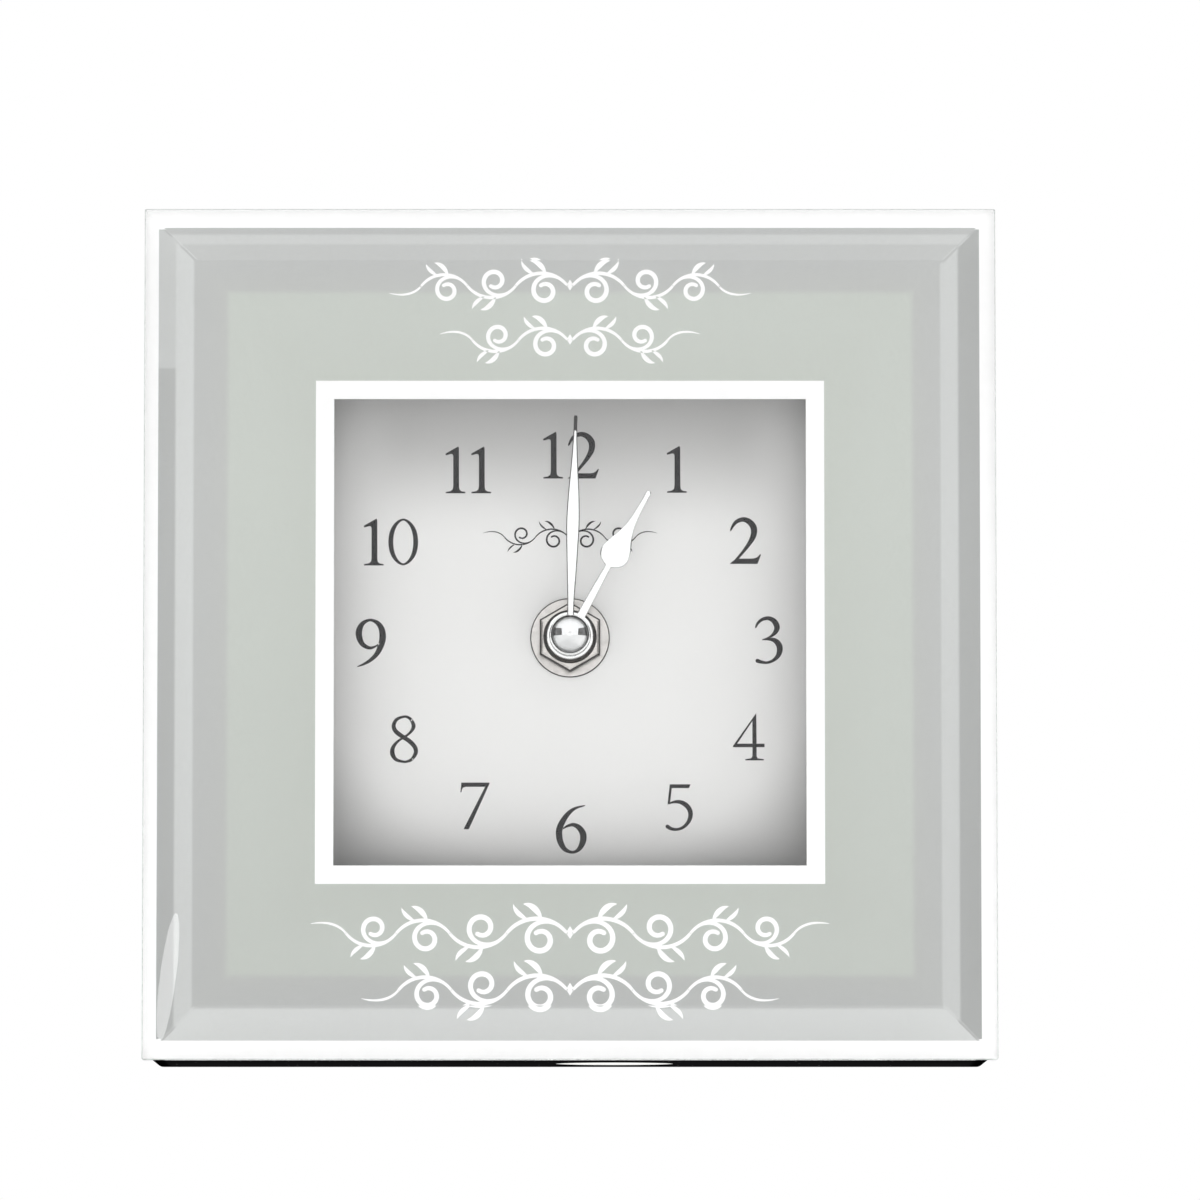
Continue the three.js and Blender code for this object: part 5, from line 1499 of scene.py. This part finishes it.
@dataclass
class Movement:
    """The quartz movement: housing, rear lid, knob, cell and the works inside."""

    corner: float = 2.5 * MM
    front_wall: float = 1.5 * MM
    clearance: float = 0.2 * MM
    bay_wall: float = 1.2 * MM
    nose_hole: float = 4.1 * MM
    notch: float = 6.5 * MM
    notch_height: float = 6 * MM
    # Half the length and half the width of the cell's plain plus and minus marks
    pole_mark: tuple[float, float] = (1.8 * MM, 0.35 * MM)
    pole_reach: float = 18 * MM
    shell_edge: float = 0.21 * MM
    lid_edge: float = 0.12 * MM
    knob_edge: float = 0.07 * MM
    # More than twice as long as any wall that a cutting cylinder goes through
    through: float = 8 * MM
    knob_hole: float = 2.9 * MM
    relief_height: float = 0.4 * MM
    # How deep the lid's raised parts are rooted in it, and the knob's shaft in its head
    foot: float = 0.2 * MM
    ring: tuple[float, float] = (6.0 * MM, 6.8 * MM)
    draft: float = 0.1 * MM
    # The bearing boss: its radius at the foot and the top, and its bore's at the top and the floor
    boss: tuple[float, ...] = (3.4 * MM, 3.2 * MM, 1.1 * MM, 1.0 * MM)
    boss_floor: float = 0.1 * MM
    arrow: tuple[float, float] = (8.0 * MM, 8.7 * MM)
    pad: tuple[float, ...] = (-21 * MM, -3 * MM, 88 * MM, 100 * MM)
    pips: tuple[tuple[float, float], ...] = ((-13 * MM, 80 * MM), (6 * MM, 96 * MM))
    pip_radius: float = 1.3 * MM
    # The clips' distance from the middle, half their width, and how far they stand above the lid
    clip: Triple = (14 * MM, 2 * MM, 0.7 * MM)
    knob_height: float = 2.6 * MM
    knob_flutes: int = 24
    # The flutes' radius, and how far outside the knob's rim their middles lie
    flute: tuple[float, float] = (0.38 * MM, 0.12 * MM)
    # The dish's distance from the rim at its top and its floor, its depth, and how high its cutter is
    dish: tuple[float, ...] = (0.9 * MM, 1.3 * MM, 0.5 * MM, 0.6 * MM)
    # Half the pointer's width, its distance from the rim, and how deep its top and its foot lie
    pointer: tuple[float, ...] = (0.45 * MM, 1.6 * MM, 0.05 * MM, 0.6 * MM)
    # Radius, and distance from the shaft's inner end, in millimetres
    shaft: tuple[tuple[float, float], ...] = (
        (0, 0), (0.4, 0), (0.4, 4.6), (1.2, 4.8), (1.2, 12.4), (2.8, 12.8))
    button: float = 2.6 * MM
    button_height: float = 1.2 * MM
    # How far in from the cell's side a point lies, at which end and how far from it, in millimetres
    sleeve: tuple[tuple[float, int, float], ...] = (
        (1.2, 0, 0.1), (0.5, 0, 0.02), (0.1, 0, 0.25), (0, 0, 0.6), (0, 1, -0.7), (0.12, 1, -0.3),
        (0.6, 1, -0.02), (1.3, 1, -0.12), (1.3, 1, -0.5), (0.6, 1, -0.7), (0.45, 0, 1),
        (1.2, 0, 0.5), (1.2, 0, 0.1))

    def build(self) -> None:
        """Builds what shows at the back and dresses the works."""
        self.build_housing()
        self.build_lid()
        self.build_knob()
        self.build_cell()
        dress("middle_plate hour_wheel minute_wheel centre_wheel seconds_wheel rotor_pinion coil_bobbin",
              WHITE_ACETAL)
        dress("third_wheel step_wheel", RED_ACETAL)
        dress("minute_arbor stator_plate coil_core quartz_crystal contact_positive contact_negative",
              STAMPED_STEEL)
        dress("coil_winding", ENAMELLED_WIRE)
        dress("circuit_board", SOLDER_MASK)
        dress("chip_cover", SMOOTH_ABS)
        dress("rotor_magnet", SINTERED_MAGNET)

    def build_housing(self) -> None:
        """The housing: a rounded box with two pockets at the back, a finger notch and pole marks."""
        low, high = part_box("movement_housing")
        shell = add_block(low, high)
        pick(shell, lambda here, there: abs(here.y - there.y) > self.corner, edges=True)
        bpy.ops.mesh.bevel(offset=self.corner, segments=6, affect="EDGES")
        bpy.ops.object.mode_set(mode="OBJECT")
        wall = high.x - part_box("contact_positive")[1].x - self.clearance
        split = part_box("movement_cover")[0].z - self.clearance
        behind = high.y + MM
        floor = low.y + self.front_wall
        gear_space = add_block(Vector((low.x + wall, floor, split)),
                               Vector((high.x - wall, behind, high.z - wall)))
        soften(gear_space, MM, segments=3, angle=60)
        carve(shell, gear_space)
        bay_top = split - self.bay_wall
        carve(shell, add_block(Vector((low.x + wall, floor, low.z + wall)),
                               Vector((high.x - wall, behind, bay_top))))
        carve(shell, add_cylinder(HUB + BACKWARDS * low.y, self.nose_hole, self.through))
        below = Vector(((low.x + high.x) / 2, high.y, low.z))
        carve(shell, add_cylinder(below, self.notch, self.notch_height, along=UP))
        half, bar = self.pole_mark
        middle = Vector((0, floor, (low.z + wall + bay_top) / 2))
        for side, across, up in ((-1, half, bar), (1, half, bar), (1, bar, half)):
            place = middle + RIGHT * (side * self.pole_reach)
            arm = Vector((across, bar, up))
            carve(shell, add_block(place - arm, place + arm), Carving.BOTH)
        soften(shell, self.shell_edge, segments=2, angle=50, even=True)
        place_piece(shell, "abs_housing", "case", BLACK_ABS, "movement_housing")

    def build_lid(self) -> None:
        """The rear lid with its clips, a bare pad, bearing bosses, and ring and arrows at the knob."""
        low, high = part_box("movement_cover")
        knob = sum(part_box("set_knob"), Vector()) / 2
        knob.y = high.y
        lid = add_block(low, high)
        carve(lid, add_cylinder(knob, self.knob_hole, self.through))
        foot, top, draft = self.foot, self.relief_height, self.draft
        inner, outer = self.ring
        left, right, bottom, upper = self.pad
        base, crown, mouth, bore = self.boss
        raised = [
            turn_on_lathe([(inner, -foot), (outer, -foot), (outer - draft, top),
                           (inner + draft, top), (inner, -foot)], knob),
            add_block(Vector((left, high.y - foot, bottom)), Vector((right, high.y + top, upper))),
            turn_on_lathe([(0, -foot), (base, -foot), (crown, top), (mouth, top), (bore, self.boss_floor),
                           (0, self.boss_floor)], HUB + BACKWARDS * high.y)]
        for x, z in self.pips:
            raised.append(add_cylinder(Vector((x, high.y, z)), self.pip_radius, 2 * foot, sides=32))
        reach, half, rise = self.clip
        for side in (-1, 1):
            clip = Vector((side * reach, high.y, high.z))
            raised.append(add_block(clip - Vector((half, foot, MM)), clip + Vector((half, foot, rise))))
        for side in (-1, 1):
            middle = knob + BACKWARDS * ((top - foot) / 2)
            raised.append(cut_flat([self.arrow_outline(side)], middle, top + foot))
        for part in raised:
            carve(lid, part, Carving.BOTH)
        soften(lid, self.lid_edge, segments=2, angle=50, even=True)
        place_piece(lid, "rear_lid", "case", BLACK_ABS, "movement_cover")

    def arrow_outline(self, side: int) -> Loop:
        """A bent arrow's outline about the knob.

        Args:
            side: 1 for the arrow that leads to the right over the top, and -1 for the other.

        Returns:
            The closed outline.
        """
        inner, outer = self.arrow
        head = (outer - inner) * 1.3
        bends = [math.radians(12 + 4 * step) for step in range(11)]
        ring = [*((outer, bend) for bend in bends), (outer + head, bends[-1]),
                ((inner + outer) / 2, math.radians(66)), (inner - head, bends[-1]),
                *((inner, bend) for bend in reversed(bends))]
        return [(side * radius * math.sin(bend), radius * math.cos(bend)) for radius, bend in ring]

    def build_knob(self) -> None:
        """The fluted setting knob on its shaft."""
        low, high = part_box("set_knob")
        centre = Vector(((low.x + high.x) / 2, 0, (low.z + high.z) / 2))
        radius = (high.x - low.x) / 2
        head_front = high.y - self.knob_height
        head = add_cylinder(centre + BACKWARDS * ((head_front + high.y) / 2), radius,
                            high.y - head_front, sides=self.knob_flutes * 4)
        groove, over = self.flute
        flutes = []
        for number in range(self.knob_flutes):
            angle = FULL_TURN * number / self.knob_flutes
            rim = centre + Vector((math.cos(angle), 0, math.sin(angle))) * (radius + over)
            flutes.append(add_cylinder(rim + BACKWARDS * high.y, groove, self.through, sides=10))
        carve(head, merge_pieces(flutes, fuse=False))
        mouth, floor, deep, above = self.dish
        carve(head, turn_on_lathe([
            (0, -deep), (radius - floor, -deep), (radius - mouth, above), (0, above)],
            centre + BACKWARDS * high.y, steps=48))
        half, margin, top, foot = self.pointer
        reach = radius - margin
        pointer = add_block(centre + Vector((-half, high.y - foot, -reach)),
                            centre + Vector((half, high.y - top, reach)))
        end = head_front - low.y + self.foot
        profile = [(across * MM, along * MM) for across, along in self.shaft]
        shaft = turn_on_lathe([*profile, (profile[-1][0], end), (0, end)],
                              centre + BACKWARDS * low.y, steps=40)
        knob = merge_pieces([head, pointer, shaft], fuse=True)
        soften(knob, self.knob_edge, segments=1, angle=45, even=True)
        place_piece(knob, "fluted_knob", "set_knob", SMOOTH_ABS, "set_knob")

    def build_cell(self) -> None:
        """The cell: printed sleeve, crimped steel ends and button."""
        low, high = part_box("battery")
        axis = Vector((0, (low.y + high.y) / 2, (low.z + high.z) / 2))
        radius, button = (high.z - low.z) / 2, self.button
        near, far = ends = (low.x, high.x - self.button_height)
        profile = [(radius - inset * MM, ends[end] + step * MM) for inset, end, step in self.sleeve]
        sleeve = turn_on_lathe(profile, axis, steps=72, along=RIGHT)
        place_piece(sleeve, "cell_sleeve", "battery", CellJacket(), "battery")
        inner = radius - 0.6 * MM
        can = turn_on_lathe([
            (0, near), (3.2 * MM, near), (3.5 * MM, near + 0.2 * MM), (inner, near + 0.3 * MM),
            (inner, far - 0.4 * MM), (button + 0.8 * MM, far - 0.25 * MM),
            (button + 0.15 * MM, far - 0.2 * MM), (button, far), (button, high.x - 0.3 * MM),
            (button - 0.25 * MM, high.x), (0, high.x)], axis, along=RIGHT)
        place_piece(can, "cell_can", "battery", STAMPED_STEEL)


@dataclass(frozen=True)
class Lamp:
    """An area lamp: where it stands, where it aims, its size in metres and its power in watts."""

    name: str
    place: Vector
    aim: Vector
    size: tuple[float, float]
    power: float
    # Whether reflections show it
    mirrored: bool = False
    rounded: bool = False
    # How far it leans to the left, in degrees
    tilt: float = 0

    def build(self) -> None:
        """Adds the lamp, which no camera sees, not through the glass either."""
        activate()
        bpy.ops.object.light_add(type="AREA", location=self.place)
        lamp = bpy.context.object
        lamp.name = self.name
        lamp.data.shape = "ELLIPSE" if self.rounded else "RECTANGLE"
        lamp.data.size, lamp.data.size_y = self.size
        lamp.data.energy = self.power
        lamp.rotation_euler = (self.aim - self.place).to_track_quat("-Z", "Y").to_euler()
        lamp.visible_camera = lamp.visible_transmission = False
        lamp.visible_glossy = self.mirrored
        # With it the glass would swallow half of the light of a lamp that reflections don't show
        lamp.data.cycles.use_multiple_importance_sampling = self.mirrored
        if self.tilt:
            bpy.ops.transform.rotate(value=math.radians(self.tilt), orient_axis="Y")


@dataclass
class Studio:
    """A pale floor, soft light and the camera."""

    floor_half: float = 3.0
    floor_drop: float = 0.0002
    under_margin: float = 3 * MM
    floor_colour: str = "f6f6f5"
    light_level: float = 1.17
    mirrored_level: float = 1.35
    flag_level: float = 0.04
    flag_edge: float = 0.58
    flag_top: float = 0.45
    card_level: float = 0.12
    card_edge: float = -0.86
    soft_edge: float = 0.04
    camera_distance: float = 1.7
    camera_height: float = -63 * MM
    lens: float = 272.5
    shift: tuple[float, float] = (0.025, 0.0263)
    # Two panels low in front, a soft lamp behind and a strip whose glint the left bevel shows
    lamps: tuple[Lamp, ...] = (
        Lamp("left_panel", Vector((-0.3, -0.2652, -0.0001)), Vector((-0.3, -0.2652, 1)), (0.6, 0.5), 0.85),
        Lamp("right_panel", Vector((0.3, -0.2652, -0.0001)), Vector((0.3, -0.2652, 1)), (0.6, 0.5), 0.85),
        Lamp("back_lamp", Vector((0.5, 1.4, 1.0)), HALF_FACE * UP, (0.8, 0.8), 12.0, mirrored=True),
        Lamp("glint_strip", Vector((-0.914, -1.5, 0.094)), HALF_FACE * UP, (0.006, 0.048), 0.0037,
             mirrored=True, rounded=True, tilt=-8))

    def build(self) -> None:
        """Sets up floor, light, world and camera."""
        self.build_floor()
        self.build_world()
        for lamp in self.lamps:
            lamp.build()
        self.build_camera()
        bpy.context.scene.view_settings.view_transform = "Standard"
        log.info("studio set up")

    def build_floor(self) -> None:
        """The floor, open under the clock and clear from below, where this camera looks up at it."""
        low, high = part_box("flock_cover")
        wide = high.x - self.under_margin
        deep = (high.y - low.y) / 2 - self.under_margin
        activate()
        bpy.ops.mesh.primitive_plane_add(size=2 * self.floor_half, location=-self.floor_drop * UP)
        floor = settle()
        floor.name = "studio_floor"
        pick(floor, lambda *_: True)
        bpy.ops.mesh.inset(thickness=self.floor_half - wide)
        bpy.ops.transform.resize(value=(1, deep / wide, 1), center_override=(0, 0, 0))
        bpy.ops.transform.translate(value=(0, (low.y + high.y) / 2, 0))
        bpy.ops.mesh.delete(type="FACE")
        bpy.ops.object.mode_set(mode="OBJECT")
        material = bpy.data.materials.new("pale_floor")
        material.use_nodes = True
        tree = material.node_tree
        tree.nodes.clear()
        paint = add_node(tree, "BsdfDiffuse", {"Color": linear(self.floor_colour)})
        behind = add_node(tree, "NewGeometry", {}).outputs["Backfacing"]
        mixed = add_node(tree, "MixShader", {0: behind, 1: paint, 2: add_node(tree, "BsdfTransparent", {})})
        add_node(tree, "OutputMaterial", {"Surface": mixed})
        floor.data.materials.append(material)

    def build_world(self) -> None:
        """An even sky, seen as plain white, with a black flag at each side that gives metal its edges."""
        world = bpy.data.worlds.new("studio_sky")
        bpy.context.scene.world = world
        world.use_nodes = True
        tree = world.node_tree
        tree.nodes.clear()
        path = add_node(tree, "LightPath", {}).outputs
        generated = add_node(tree, "TexCoord", {}).outputs["Generated"]
        parts = add_node(tree, "SeparateXYZ", {"Vector": generated}).outputs
        sideways = add_node(tree, "Math", {"operation": "ABSOLUTE", 0: parts["X"]})
        # Light that a matte surface scattered comes from the plain sky, also through the glass. The
        # card round the lens darkens what the glass's front mirrors, but not the metal behind it.
        half = 0.5
        clean, outside, low, flags, card = (
            add_node(tree, "MapRange", {
                "interpolation_type": "SMOOTHSTEP", "Value": value, "From Min": edge,
                "From Max": edge + self.soft_edge, "To Min": below, "To Max": above})
            for value, edge, below, above in (
                (path["Diffuse Depth"], half, 1, 0), (path["Transmission Depth"], half, 1, 0),
                (parts["Z"], self.flag_top, 1, 0), (sideways, self.flag_edge, 0, 1),
                (parts["Y"], self.card_edge, self.card_level, 1)))
        either = add_node(tree, "Math", {
            "operation": "MAXIMUM", 0: path["Is Glossy Ray"], 1: path["Is Transmission Ray"]})
        mirrored = add_node(tree, "Math", {"operation": "MULTIPLY", 0: either, 1: clean})
        seen = add_node(tree, "Math", {"operation": "MAXIMUM", 0: path["Is Camera Ray"], 1: mirrored})
        dark = add_node(tree, "Math", {"operation": "MULTIPLY", 0: flags, 1: low})
        flagged = add_node(tree, "MapRange", {
            "interpolation_type": "SMOOTHSTEP", "Value": dark, "From Min": half,
            "From Max": half + self.soft_edge, "To Min": self.mirrored_level, "To Max": self.flag_level})
        carded = add_node(tree, "Mix", {"data_type": "FLOAT", 0: outside, 2: 1.0, 3: card})
        level = add_node(tree, "Math", {"operation": "MULTIPLY", 0: flagged, 1: carded})
        strength = add_node(tree, "Mix", {"data_type": "FLOAT", 0: mirrored, 2: 1.0, 3: level})
        lighting, backdrop = (add_node(tree, "Background", {"Color": linear("ffffff"), "Strength": power})
                              for power in (self.light_level, strength))
        mixed = add_node(tree, "MixShader", {0: seen, 1: lighting, 2: backdrop})
        add_node(tree, "OutputWorld", {"Surface": mixed})

    def build_camera(self) -> None:
        """The camera, a little below the clock and far in front of it."""
        target = Vector((0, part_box("glass_front")[0].y, HALF_FACE))
        drop = self.camera_height - target.z
        back = math.sqrt(self.camera_distance ** 2 - drop ** 2)
        place = target + Vector((0, -back, drop))
        activate()
        bpy.ops.object.camera_add(location=place)
        camera = bpy.context.object
        camera.name = "front_camera"
        camera.rotation_euler = (target - place).to_track_quat("-Z", "Y").to_euler()
        camera.data.lens = self.lens
        camera.data.sensor_width = 36
        camera.data.shift_x, camera.data.shift_y = self.shift
        bpy.context.scene.camera = camera


def main() -> None:
    """Builds the studio, then the clock's looks from the front backwards."""
    logging.basicConfig(level=logging.INFO, format="%(name)s: %(message)s")
    for part in (Studio(), GlassFront(), Dial(), Hub(), Case(), Movement()):
        part.build()
    activate()


if __name__ == "__main__":
    main()
